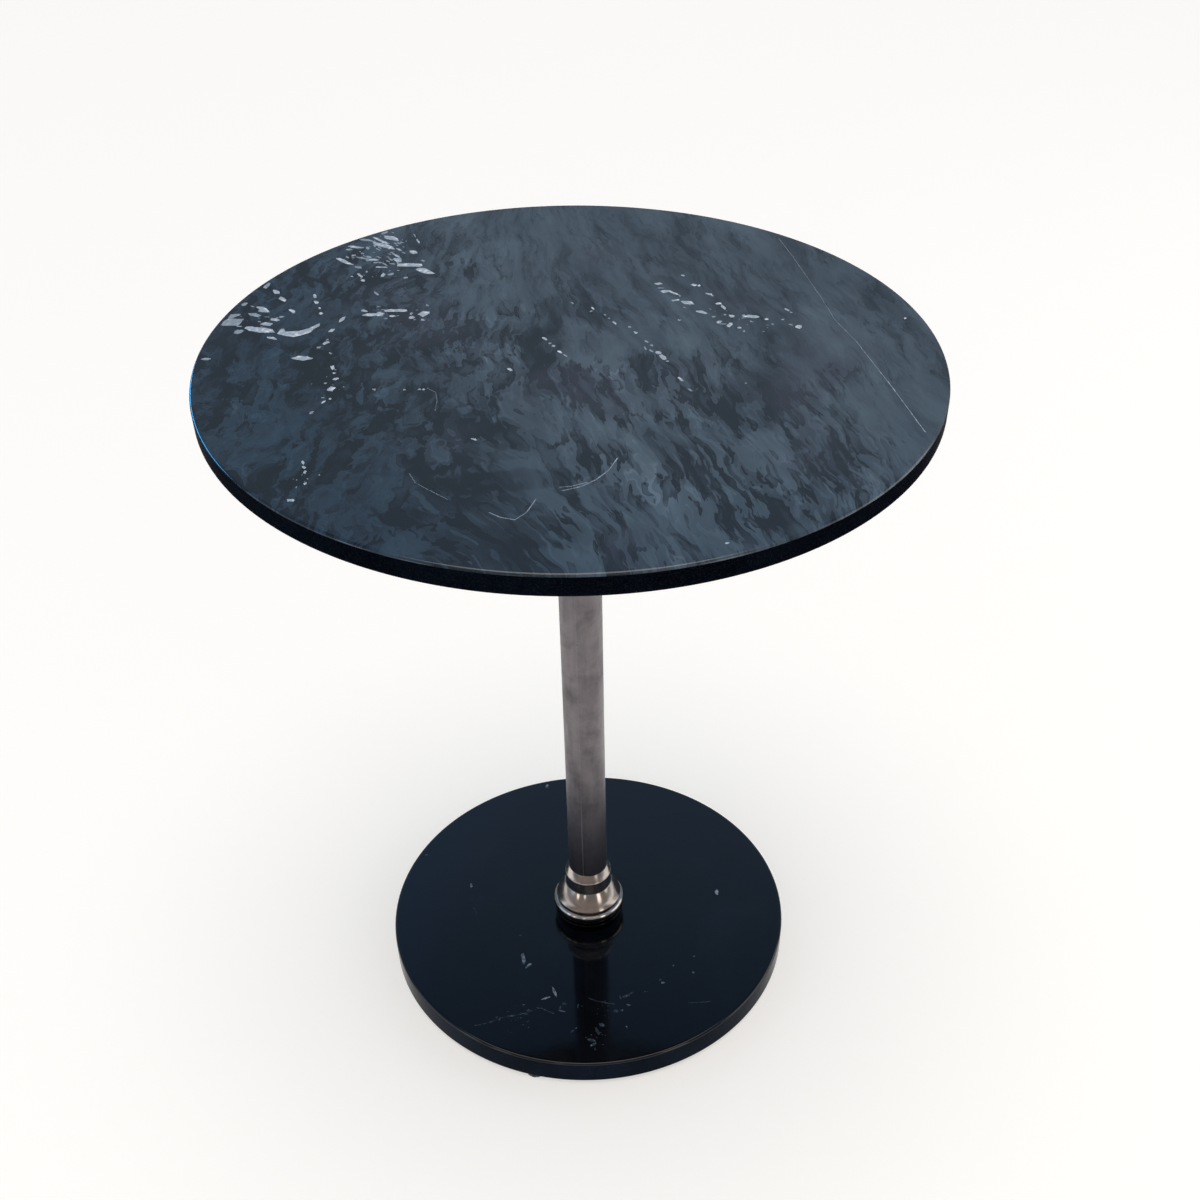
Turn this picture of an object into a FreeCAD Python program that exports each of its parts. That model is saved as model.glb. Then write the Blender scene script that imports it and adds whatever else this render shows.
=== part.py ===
"""Round pedestal table: a stone top on a nickel-plated column, clamped to a stone base.

Units are millimetres. The origin is on the floor under the column's axis, +Z is up, and
every piece is a solid of its own. The driving sizes are in the spreadsheet "Dims"; all
other sizes are expressions on them.
"""
import FreeCAD, Part
import math
import os
import Sketcher

V = FreeCAD.Vector

# Driving sizes, all in millimetres or degrees except the three counts.
SIZES = {
    # stone slabs
    "top_radius": 320, "top_thick": 20, "base_radius": 225, "base_thick": 30,
    "arris_radius": 3, "top_face_height": 732, "foot_height": 4,
    # column tube and the tie rod inside it
    "tube_radius": 21.2, "tube_wall": 1.6, "ring_play": 0.1, "plug_play": 0.1,
    "rod_radius": 5, "thread_play": 0.03, "rod_hole_radius": 5.5,
    # turned collar at the foot of the column
    "plinth_radius": 38.4, "plinth_step_radius": 37.6, "plinth_neck_radius": 36.8,
    "plinth_step": 9, "plinth_neck": 14, "plinth_top": 17, "bead_radius": 40.2, "bead_top": 26,
    "groove_radius": 32, "groove_height": 2.5, "dome_radius": 36.6, "dome_step": 1.5, "dome_shelf": 0.6,
    "dome_shoulder_radius": 36, "dome_top_radius": 26.6, "dome_bulge": 120, "dome_top": 49.5,
    "neck_foot_radius": 26.2, "neck_radius": 24.9, "neck_top": 62.5,
    "cup_edge_radius": 25.4, "cup_edge_round": 3.6, "cup_edge_height": 4,
    "cup_shoulder_radius": 25.3, "cup_lip_radius": 21.4, "cup_bulge": 200, "cup_top": 75,
    # flanged plug that stands the tube on the base, with its seal
    "seal_thick": 0.8, "seal_radius": 31, "flange_radius": 29, "flange_thick": 3,
    "plug_height": 24, "flange_play": 0.6,
    # clamp under the base
    "recess_radius": 30, "recess_depth": 18, "clamp_radius": 28, "clamp_thick": 4,
    "washer_radius": 9, "washer_hole_radius": 5.2, "washer_thick": 2.2,
    "nut_flats": 17, "nut_thick": 5, "rod_tail": 1.5, "cap_thick": 2, "cap_play": 0.3,
    # mounting plate under the top
    "plate_radius": 100, "plate_thick": 5, "gasket_radius": 98, "gasket_thick": 1,
    "gasket_hole_radius": 3.4, "socket_radius": 27, "socket_height": 30, "socket_bead": 3,
    "anchor_height": 20, "rod_top_gap": 4,
    "screw_count": 4, "screw_circle_radius": 75, "screw_radius": 3, "screw_head_radius": 6,
    "screw_head_depth": 3, "screw_length": 15, "insert_radius": 5, "insert_play": 0.05,
    "insert_length": 13, "insert_relief": 1,
    # levelling glides
    "glide_count": 3, "glide_circle_radius": 213, "glide_angle": -107,
    "glide_insert_length": 16, "hex_recess_radius": 7.5, "hex_recess_depth": 4,
    "hex_flats": 11, "hex_thick": 3.4, "stem_radius": 4, "stem_play": 0.05, "stem_length": 15.4,
    "pin_radius": 3, "pin_depth": 2.5, "pin_gap": 0.1, "pad_radius": 11, "pad_gap": 0.2,
    "pad_edge": 0.8,
}

# Heights above the floor that several pieces share, as expressions.
BASE_TOP = "Dims.foot_height + Dims.base_thick"
TOP_UNDERSIDE = "Dims.top_face_height - Dims.top_thick"
PLATE_UNDERSIDE = TOP_UNDERSIDE + " - Dims.gasket_thick - Dims.plate_thick"
FLANGE_UNDERSIDE = BASE_TOP + " + Dims.seal_thick"
TUBE_FOOT = FLANGE_UNDERSIDE + " + Dims.flange_thick"
RECESS_CEILING = "Dims.foot_height + Dims.recess_depth"
TUBE_BORE = "Dims.tube_radius - Dims.tube_wall"
RING_BORE = "Dims.tube_radius + Dims.ring_play"
ROD_THREAD = "Dims.rod_radius + Dims.thread_play"

doc = FreeCAD.newDocument("PedestalTable")


def make_sheet():
    """Writes every driving size to the spreadsheet under its own alias."""
    sheet = doc.addObject("Spreadsheet::Sheet", "Dims")
    for row, (alias, value) in enumerate(SIZES.items(), start=1):
        sheet.set(f"A{row}", alias)
        sheet.set(f"B{row}", str(value))
        sheet.setAlias(f"B{row}", alias)
    doc.recompute()
    return sheet


sheet = make_sheet()


def size(expression):
    """The present value of an expression on the sheet's sizes, as a plain number."""
    if isinstance(expression, (int, float)):
        return float(expression)
    return float(sheet.evalExpression(expression))


# ---------------------------------------------------------------- sketch and feature helpers

def make_body(label, height=0, radius=0, angle=0):
    """An empty body whose own origin stands at a height, and at a radius and angle if given."""
    body = doc.addObject("PartDesign::Body", label)
    body.Label = label
    body.setExpression("Placement.Base.z", str(height))
    if radius:
        body.setExpression("Placement.Base.x", f"({radius}) * cos(({angle}) * 1 deg)")
        body.setExpression("Placement.Base.y", f"({radius}) * sin(({angle}) * 1 deg)")
    return body


def add_sketch(body, name, role, offset=0):
    """A sketch on one of the body's origin planes, moved along its normal by an offset."""
    plane = next(part for part in body.Origin.OriginFeatures if part.Role == role)
    sketch = body.newObject("Sketcher::SketchObject", name)
    sketch.AttachmentSupport = [(plane, "")]
    sketch.MapMode = "FlatFace"
    sketch.setExpression("AttachmentOffset.Base.z", str(offset))
    return sketch


def bind(sketch, kind, expression, *places):
    """Adds a dimension to a sketch and ties it to an expression."""
    index = sketch.addConstraint(Sketcher.Constraint(kind, *places, size(expression)))
    sketch.setExpression(f"Constraints[{index}]", str(expression))


def bind_point(sketch, edge, end, across, up):
    """Ties one end of an edge to the sketch's origin by two expressions."""
    bind(sketch, "DistanceX", across, -1, 1, edge, end)
    bind(sketch, "DistanceY", up, -1, 1, edge, end)


def add_circle(sketch, radius, across=0, up=0):
    """A circle whose radius and centre are expressions."""
    centre = V(size(across), size(up), 0)
    circle = sketch.addGeometry(Part.Circle(centre, V(0, 0, 1), size(radius)))
    bind(sketch, "Radius", radius, circle)
    bind_point(sketch, circle, 3, across, up)


def arc_between(start, end, radius):
    """The anticlockwise arc of at most half a turn from start to end."""
    half = (end - start) * 0.5
    depth = radius - math.sqrt(max(radius ** 2 - half.Length ** 2, 0))
    outward = V(half.y, -half.x, 0).normalize()
    return Part.Arc(start, start + half + outward * depth, end)


def add_outline(sketch, corners, arcs=None):
    """A closed outline of anticlockwise corners; arcs gives the radius of each round edge."""
    arcs = arcs or {}
    points = [V(size(across), size(up), 0) for across, up in corners]
    for index, start in enumerate(points):
        end = points[(index + 1) % len(points)]
        if index in arcs:
            sketch.addGeometry(arc_between(start, end, size(arcs[index])))
        else:
            sketch.addGeometry(Part.LineSegment(start, end))
    for index, (across, up) in enumerate(corners):
        before = (index - 1) % len(corners)
        sketch.addConstraint(Sketcher.Constraint("Coincident", before, 2, index, 1))
        bind_point(sketch, index, 1, across, up)
    for index, radius in arcs.items():
        if 2 * size(radius) > (points[(index + 1) % len(points)] - points[index]).Length + 1e-6:
            bind(sketch, "Radius", radius, index)


def turn(body, corners, arcs=None):
    """A lathe-turned solid: an outline of (radius, height) corners, turned about the axis."""
    sketch = add_sketch(body, body.Label + "_outline", "XZ_Plane")
    add_outline(sketch, corners, arcs)
    turned = body.newObject("PartDesign::Revolution", body.Label + "_turned")
    turned.Profile = sketch
    turned.ReferenceAxis = (sketch, ["V_Axis"])
    turned.Angle = 360
    doc.recompute()
    return turned


def pad(body, sketch, length):
    """Raises a sketch along +Z by a length."""
    raised = body.newObject("PartDesign::Pad", body.Label + "_pad")
    raised.Profile = sketch
    raised.setExpression("Length", length)
    doc.recompute()
    return raised


def disc(body, radius, thickness, hole=None):
    """A flat disc on the body's own origin, with a hole through its middle if one is given."""
    sketch = add_sketch(body, body.Label + "_rim", "XY_Plane")
    add_circle(sketch, radius)
    if hole:
        add_circle(sketch, hole)
    return pad(body, sketch, thickness)


def pocket(body, name, radius, depth, height=0, place=0):
    """Cuts a round hole upwards from a height, its centre on the body's X axis at a place."""
    before = body.Shape.Volume
    sketch = add_sketch(body, body.Label + "_" + name, "XY_Plane", height)
    add_circle(sketch, radius, place)
    cut = body.newObject("PartDesign::Pocket", body.Label + "_" + name + "_cut")
    cut.Profile = sketch
    cut.Reversed = True
    cut.setExpression("Length", depth)
    doc.recompute()
    if body.Shape.Volume >= before - 1:
        raise RuntimeError(f"{cut.Label} removed nothing")
    return cut


def around(body, features, count):
    """Repeats features evenly about the body's Z axis."""
    pattern = body.newObject("PartDesign::PolarPattern", body.Label + "_" + features[0].Label + "_set")
    axis = next(part for part in body.Origin.OriginFeatures if part.Role == "Z_Axis")
    pattern.Originals = features
    pattern.Axis = (axis, [""])
    pattern.Angle = 360
    pattern.setExpression("Occurrences", count)
    body.Tip = pattern
    doc.recompute()
    return pattern


def soften(body, feature, edges, radius):
    """Rounds some edges of the body's last feature."""
    fillet = body.newObject("PartDesign::Fillet", body.Label + "_arris")
    fillet.Base = (feature, edges)
    fillet.setExpression("Radius", radius)
    body.Tip = fillet
    doc.recompute()
    return fillet


def rim_edges(shape, radius):
    """The names of a shape's circular edges of one radius about its own Z axis."""
    names = []
    for number, edge in enumerate(shape.Edges, start=1):
        curve = edge.Curve
        if isinstance(curve, Part.Circle) and abs(curve.Radius - radius) < 1e-6:
            names.append(f"Edge{number}")
    return names


def ring(label, outer, inner, length, height, radius, angle):
    """A plain ring made of two Part cylinders, standing off the axis at a radius and angle."""
    solids = []
    for role, wall, reach in (("wall", outer, 0), ("bore", inner, 1)):
        cylinder = doc.addObject("Part::Cylinder", f"{label}_{role}")
        cylinder.setExpression("Radius", wall)
        cylinder.setExpression("Height", f"{length} + {2 * reach}")
        cylinder.setExpression("Placement.Base.z", f"-{reach}")
        solids.append(cylinder)
    cut = doc.addObject("Part::Cut", label)
    cut.Base, cut.Tool = solids
    cut.setExpression("Placement.Base.x", f"({radius}) * cos(({angle}) * 1 deg)")
    cut.setExpression("Placement.Base.y", f"({radius}) * sin(({angle}) * 1 deg)")
    cut.setExpression("Placement.Base.z", height)
    return cut


def group(label, pieces):
    """Puts identical loose pieces in one object, as separate solids."""
    compound = doc.addObject("Part::Compound", label)
    compound.Label = label
    compound.Links = pieces
    doc.recompute()
    return compound


def hexagon(sketch, flats):
    """A regular hexagon about the sketch's origin, two of its flats parallel to its X axis."""
    corners = []
    for corner in range(6):
        reach = f"{flats} / 2 / cos(30 deg)"
        corners.append((f"{reach} * cos({60 * corner} deg)", f"{reach} * sin({60 * corner} deg)"))
    add_outline(sketch, corners)


# ---------------------------------------------------------------- stone slabs

def screw_angle(index):
    """The angle of one of the top's screws, in degrees."""
    return f"{index} * 360 / Dims.screw_count"


def glide_angle(index):
    """The angle of one of the glides, in degrees."""
    return f"Dims.glide_angle + {index} * 360 / Dims.glide_count"


def make_marble_top():
    """The top slab: rounded arrises, and blind holes in its underside for the inserts."""
    body = make_body("marble_top", TOP_UNDERSIDE)
    slab = disc(body, "Dims.top_radius", "Dims.top_thick")
    soften(body, slab, rim_edges(slab.Shape, size("Dims.top_radius")), "Dims.arris_radius")
    hole = pocket(body, "insert_hole", "Dims.insert_radius + Dims.insert_play",
                  "Dims.insert_length + Dims.insert_relief", place="Dims.screw_circle_radius")
    around(body, [hole], "Dims.screw_count")
    return body


def make_marble_base():
    """The base slab: rounded arrises, the tie rod's hole and recess, and the glides' holes."""
    body = make_body("marble_base", "Dims.foot_height")
    slab = disc(body, "Dims.base_radius", "Dims.base_thick")
    soften(body, slab, rim_edges(slab.Shape, size("Dims.base_radius")), "Dims.arris_radius")
    pocket(body, "recess", "Dims.recess_radius", "Dims.recess_depth")
    pocket(body, "rod_hole", "Dims.rod_hole_radius", "Dims.base_thick")
    socket = pocket(body, "hex_recess", "Dims.hex_recess_radius", "Dims.hex_recess_depth",
                    place="Dims.glide_circle_radius")
    hole = pocket(body, "glide_hole", "Dims.insert_radius + Dims.insert_play",
                  "Dims.glide_insert_length + Dims.insert_relief", "Dims.hex_recess_depth",
                  "Dims.glide_circle_radius")
    around(body, [socket, hole], "Dims.glide_count")
    body.Placement.Rotation = FreeCAD.Rotation(V(0, 0, 1), size("Dims.glide_angle"))
    return body


# ---------------------------------------------------------------- column

def make_column_tube():
    """The plated tube, from the flanged plug up to the mounting plate."""
    body = make_body("column_tube", TUBE_FOOT)
    disc(body, "Dims.tube_radius", f"{PLATE_UNDERSIDE} - ({TUBE_FOOT})", TUBE_BORE)
    return body


def make_tie_rod():
    """The long rod that pulls the top and the base together through the tube."""
    foot = f"{RECESS_CEILING} - Dims.clamp_thick - Dims.washer_thick - Dims.nut_thick - Dims.rod_tail"
    body = make_body("tie_rod", foot)
    disc(body, "Dims.rod_radius", f"{PLATE_UNDERSIDE} - Dims.rod_top_gap - ({foot})")
    return body


def make_rod_anchor():
    """The threaded boss inside the tube's top that the tie rod screws into."""
    body = make_body("rod_anchor", f"{PLATE_UNDERSIDE} - Dims.anchor_height")
    disc(body, f"{TUBE_BORE} - Dims.plug_play", "Dims.anchor_height", ROD_THREAD)
    return body


def make_foot_plug():
    """The flanged plug that centres the tube's foot and spreads its load on the stone."""
    body = make_body("tube_foot_plug", FLANGE_UNDERSIDE)
    spigot = f"{TUBE_BORE} - Dims.plug_play"
    turn(body, [
        ("Dims.rod_hole_radius", 0),
        ("Dims.flange_radius", 0),
        ("Dims.flange_radius", "Dims.flange_thick"),
        (spigot, "Dims.flange_thick"),
        (spigot, "Dims.plug_height"),
        ("Dims.rod_hole_radius", "Dims.plug_height"),
    ])
    return body


def make_foot_seal():
    """The thin rubber ring between the flange and the stone."""
    body = make_body("foot_seal", BASE_TOP)
    disc(body, "Dims.seal_radius", "Dims.seal_thick", "Dims.rod_hole_radius")
    return body


# ---------------------------------------------------------------- turned collar on the base

def make_collar_plinth():
    """The lowest ring of the collar: a stepped black drum that hides the flange and the seal."""
    body = make_body("collar_plinth", BASE_TOP)
    inner = "Dims.seal_radius + Dims.flange_play"
    ceiling = "Dims.seal_thick + Dims.flange_thick + Dims.flange_play"
    turn(body, [
        (inner, 0),
        ("Dims.plinth_radius", 0),
        ("Dims.plinth_radius", "Dims.plinth_step"),
        ("Dims.plinth_step_radius", "Dims.plinth_step"),
        ("Dims.plinth_step_radius", "Dims.plinth_neck"),
        ("Dims.plinth_neck_radius", "Dims.plinth_neck"),
        ("Dims.plinth_neck_radius", "Dims.plinth_top"),
        (RING_BORE, "Dims.plinth_top"),
        (RING_BORE, ceiling),
        (inner, ceiling),
    ])
    return body


def make_collar_bead():
    """The widest ring of the collar: a half-round bead."""
    body = make_body("collar_bead", f"{BASE_TOP} + Dims.plinth_top")
    height = "(Dims.bead_top - Dims.plinth_top)"
    edge = f"Dims.bead_radius - {height} / 2"
    turn(body, [
        (RING_BORE, 0),
        (edge, 0),
        (edge, height),
        (RING_BORE, height),
    ], {1: f"{height} / 2"})
    return body


def make_collar_dome():
    """The bell of the collar: a narrow groove, a thin sloping shelf and a convex shoulder."""
    body = make_body("collar_dome", f"{BASE_TOP} + Dims.bead_top")
    step = "Dims.groove_height + Dims.dome_step"
    crown = "Dims.dome_top - Dims.bead_top"
    turn(body, [
        (RING_BORE, 0),
        ("Dims.groove_radius", 0),
        ("Dims.groove_radius", "Dims.groove_height"),
        ("Dims.dome_radius", "Dims.groove_height"),
        ("Dims.dome_radius", step),
        ("Dims.dome_shoulder_radius", f"{step} + Dims.dome_shelf"),
        ("Dims.dome_top_radius", crown),
        (RING_BORE, crown),
    ], {5: "Dims.dome_bulge"})
    return body


def make_collar_neck():
    """The tapered sleeve between the bell and the cup ring."""
    body = make_body("collar_neck", f"{BASE_TOP} + Dims.dome_top")
    height = "Dims.neck_top - Dims.dome_top"
    turn(body, [
        (RING_BORE, 0),
        ("Dims.neck_foot_radius", 0),
        ("Dims.neck_radius", height),
        (RING_BORE, height),
    ])
    return body


def make_collar_cup():
    """The top ring of the collar: a cone that closes on the tube, over a rounded edge."""
    body = make_body("collar_cup", f"{BASE_TOP} + Dims.neck_top")
    height = "Dims.cup_top - Dims.neck_top"
    turn(body, [
        (RING_BORE, 0),
        ("Dims.cup_edge_radius", 0),
        ("Dims.cup_edge_radius", "Dims.cup_edge_height"),
        ("Dims.cup_shoulder_radius", "Dims.cup_edge_height"),
        ("Dims.cup_lip_radius", height),
        (RING_BORE, height),
    ], {1: "Dims.cup_edge_round", 3: "Dims.cup_bulge"})
    return body


# ---------------------------------------------------------------- clamp under the base

def make_clamp_plate():
    """The thick washer that spreads the tie rod's pull in the base's recess."""
    body = make_body("base_clamp_plate", f"{RECESS_CEILING} - Dims.clamp_thick")
    disc(body, "Dims.clamp_radius", "Dims.clamp_thick", "Dims.rod_hole_radius")
    return body


def make_spring_washer():
    """The lock washer under the nut, pressed flat."""
    height = f"{RECESS_CEILING} - Dims.clamp_thick - Dims.washer_thick"
    body = make_body("base_spring_washer", height)
    disc(body, "Dims.washer_radius", "Dims.washer_thick", "Dims.washer_hole_radius")
    return body


def make_base_nut():
    """The thin hexagon nut on the tie rod's lower end."""
    height = f"{RECESS_CEILING} - Dims.clamp_thick - Dims.washer_thick - Dims.nut_thick"
    body = make_body("base_nut", height)
    sketch = add_sketch(body, "base_nut_hexagon", "XY_Plane")
    hexagon(sketch, "Dims.nut_flats")
    add_circle(sketch, ROD_THREAD)
    pad(body, sketch, "Dims.nut_thick")
    return body


def make_recess_cap():
    """The plastic disc that closes the recess in the base's underside."""
    body = make_body("recess_cap", "Dims.foot_height")
    disc(body, "Dims.recess_radius - Dims.cap_play", "Dims.cap_thick")
    return body


# ---------------------------------------------------------------- mounting plate under the top

def make_top_plate():
    """The round steel plate under the top, countersunk for its screws."""
    body = make_body("top_plate", PLATE_UNDERSIDE)
    disc(body, "Dims.plate_radius", "Dims.plate_thick")
    head = pocket(body, "screw_head", "Dims.screw_head_radius + Dims.insert_play",
                  "Dims.screw_head_depth", place="Dims.screw_circle_radius")
    shank = pocket(body, "screw_hole", "Dims.gasket_hole_radius", "Dims.plate_thick",
                   place="Dims.screw_circle_radius")
    around(body, [head, shank], "Dims.screw_count")
    return body


def make_top_gasket():
    """The thin rubber sheet between the plate and the stone."""
    body = make_body("top_gasket", f"{TOP_UNDERSIDE} - Dims.gasket_thick")
    disc(body, "Dims.gasket_radius", "Dims.gasket_thick")
    hole = pocket(body, "screw_hole", "Dims.gasket_hole_radius", "Dims.gasket_thick",
                  place="Dims.screw_circle_radius")
    around(body, [hole], "Dims.screw_count")
    return body


def make_top_socket():
    """The plated sleeve under the plate that holds the tube's top."""
    body = make_body("top_socket", f"{PLATE_UNDERSIDE} - Dims.socket_height")
    bead = "Dims.socket_bead"
    turn(body, [
        (RING_BORE, 0),
        (f"Dims.socket_radius - {bead}", 0),
        (f"Dims.socket_radius - {bead}", f"Dims.socket_height - 3 * {bead}"),
        ("Dims.socket_radius", f"Dims.socket_height - 3 * {bead}"),
        (f"Dims.socket_radius + 2 * {bead}", f"Dims.socket_height - {bead}"),
        (f"Dims.socket_radius + 2 * {bead}", "Dims.socket_height"),
        (RING_BORE, "Dims.socket_height"),
    ])
    return body


def make_top_screws():
    """The countersunk screws that hold the plate to the top's inserts."""
    screws = []
    for index in range(int(size("Dims.screw_count"))):
        body = make_body(f"top_screw_{index + 1}", PLATE_UNDERSIDE,
                         "Dims.screw_circle_radius", screw_angle(index))
        turn(body, [
            (0, 0),
            ("Dims.screw_head_radius", 0),
            ("Dims.screw_head_radius", "Dims.screw_head_depth / 3"),
            ("Dims.screw_radius", "Dims.screw_head_depth"),
            ("Dims.screw_radius", "Dims.screw_length"),
            (0, "Dims.screw_length"),
        ])
        screws.append(body)
    return group("top_screws", screws)


def make_top_inserts():
    """The brass bushes set in the top for its screws."""
    inserts = []
    for index in range(int(size("Dims.screw_count"))):
        inserts.append(ring(f"top_insert_{index + 1}", "Dims.insert_radius",
                            "Dims.screw_radius + Dims.thread_play", "Dims.insert_length",
                            TOP_UNDERSIDE, "Dims.screw_circle_radius", screw_angle(index)))
    return group("top_inserts", inserts)


# ---------------------------------------------------------------- levelling glides

def make_glide_inserts():
    """The brass bushes set in the base for the glides' stems."""
    inserts = []
    for index in range(int(size("Dims.glide_count"))):
        inserts.append(ring(f"glide_insert_{index + 1}", "Dims.insert_radius",
                            "Dims.stem_radius + Dims.stem_play", "Dims.glide_insert_length",
                            "Dims.foot_height + Dims.hex_recess_depth",
                            "Dims.glide_circle_radius", glide_angle(index)))
    return group("glide_inserts", inserts)


def make_glide_stem(index):
    """A glide's steel screw: a pin for the pad, a hexagon to turn it by, and the shank."""
    body = make_body(f"glide_stem_{index + 1}", "Dims.foot_height + Dims.pad_gap",
                     "Dims.glide_circle_radius", glide_angle(index))
    drop = "Dims.pad_gap + Dims.pin_depth"
    turn(body, [
        (0, f"-({drop})"),
        ("Dims.pin_radius", f"-({drop})"),
        ("Dims.pin_radius", 0),
        ("Dims.stem_radius", 0),
        ("Dims.stem_radius", "Dims.hex_thick + Dims.stem_length"),
        (0, "Dims.hex_thick + Dims.stem_length"),
    ])
    sketch = add_sketch(body, f"glide_hexagon_{index + 1}", "XY_Plane")
    hexagon(sketch, "Dims.hex_flats")
    pad(body, sketch, "Dims.hex_thick")
    return body


def make_glide_pad(index):
    """A glide's nylon foot, which swivels on the stem's pin."""
    body = make_body(f"glide_pad_{index + 1}", 0, "Dims.glide_circle_radius", glide_angle(index))
    height = "(Dims.foot_height - Dims.pad_gap)"
    bore = "Dims.pin_radius + Dims.stem_play"
    floor = f"{height} - Dims.pin_depth - Dims.pin_gap"
    turn(body, [
        (0, 0),
        ("Dims.pad_radius - Dims.pad_edge", 0),
        ("Dims.pad_radius", "Dims.pad_edge"),
        ("Dims.pad_radius", height),
        (bore, height),
        (bore, floor),
        (0, floor),
    ])
    return body


# ---------------------------------------------------------------- the whole table

def make_table():
    """Makes every sub-part and returns them in order, from the top down."""
    parts = [
        make_marble_top(), make_top_inserts(), make_top_gasket(), make_top_plate(),
        make_top_screws(), make_top_socket(), make_rod_anchor(), make_column_tube(),
        make_tie_rod(), make_collar_cup(), make_collar_neck(), make_collar_dome(),
        make_collar_bead(), make_collar_plinth(), make_foot_plug(), make_foot_seal(),
        make_marble_base(), make_clamp_plate(), make_spring_washer(), make_base_nut(),
        make_recess_cap(), make_glide_inserts(),
    ]
    for index in range(int(size("Dims.glide_count"))):
        parts.append(make_glide_stem(index))
        parts.append(make_glide_pad(index))
    return parts


def check(parts):
    """Stops if any object of the document failed, or a sub-part has no sound solid."""
    for item in doc.Objects:
        if "Invalid" in item.State or "Error" in item.State:
            raise RuntimeError(f"{item.Label} did not compute: {item.State}")
    for part in parts:
        shape = part.Shape
        if shape.isNull() or not shape.isValid() or not shape.Solids:
            raise RuntimeError(f"{part.Label} has no valid solid")


def export(parts):
    """Writes each sub-part to parts/LABEL.step."""
    os.makedirs("parts", exist_ok=True)
    for part in parts:
        part.Shape.exportStep(os.path.join("parts", part.Label + ".step"))
        print(f"{part.Label}: {len(part.Shape.Solids)} solid(s), {part.Shape.Volume:.0f} mm3")


table = make_table()
doc.recompute()
check(table)
export(table)
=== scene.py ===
"""Round pedestal table: looks, floor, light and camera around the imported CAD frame. Metres, +Z up."""
import math
import random

import bmesh
import bpy
from mathutils import Matrix, Vector
from mathutils.geometry import delaunay_2d_cdt


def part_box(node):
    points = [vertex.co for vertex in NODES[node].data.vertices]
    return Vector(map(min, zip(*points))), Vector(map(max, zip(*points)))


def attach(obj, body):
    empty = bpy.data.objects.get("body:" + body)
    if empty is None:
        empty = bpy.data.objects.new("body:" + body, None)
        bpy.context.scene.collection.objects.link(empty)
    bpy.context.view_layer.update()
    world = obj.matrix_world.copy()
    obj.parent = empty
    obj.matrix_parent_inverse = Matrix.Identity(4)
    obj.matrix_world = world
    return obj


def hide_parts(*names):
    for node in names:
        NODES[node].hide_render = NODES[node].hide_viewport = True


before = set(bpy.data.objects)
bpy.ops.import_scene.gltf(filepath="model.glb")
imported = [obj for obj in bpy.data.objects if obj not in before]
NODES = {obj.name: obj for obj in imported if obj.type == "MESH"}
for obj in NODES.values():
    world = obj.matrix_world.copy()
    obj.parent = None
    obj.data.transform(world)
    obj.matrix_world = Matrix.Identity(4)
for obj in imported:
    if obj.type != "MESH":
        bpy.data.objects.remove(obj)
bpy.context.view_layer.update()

MM = 0.001

# ------------------------------------------------------------------ node graph helper


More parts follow.
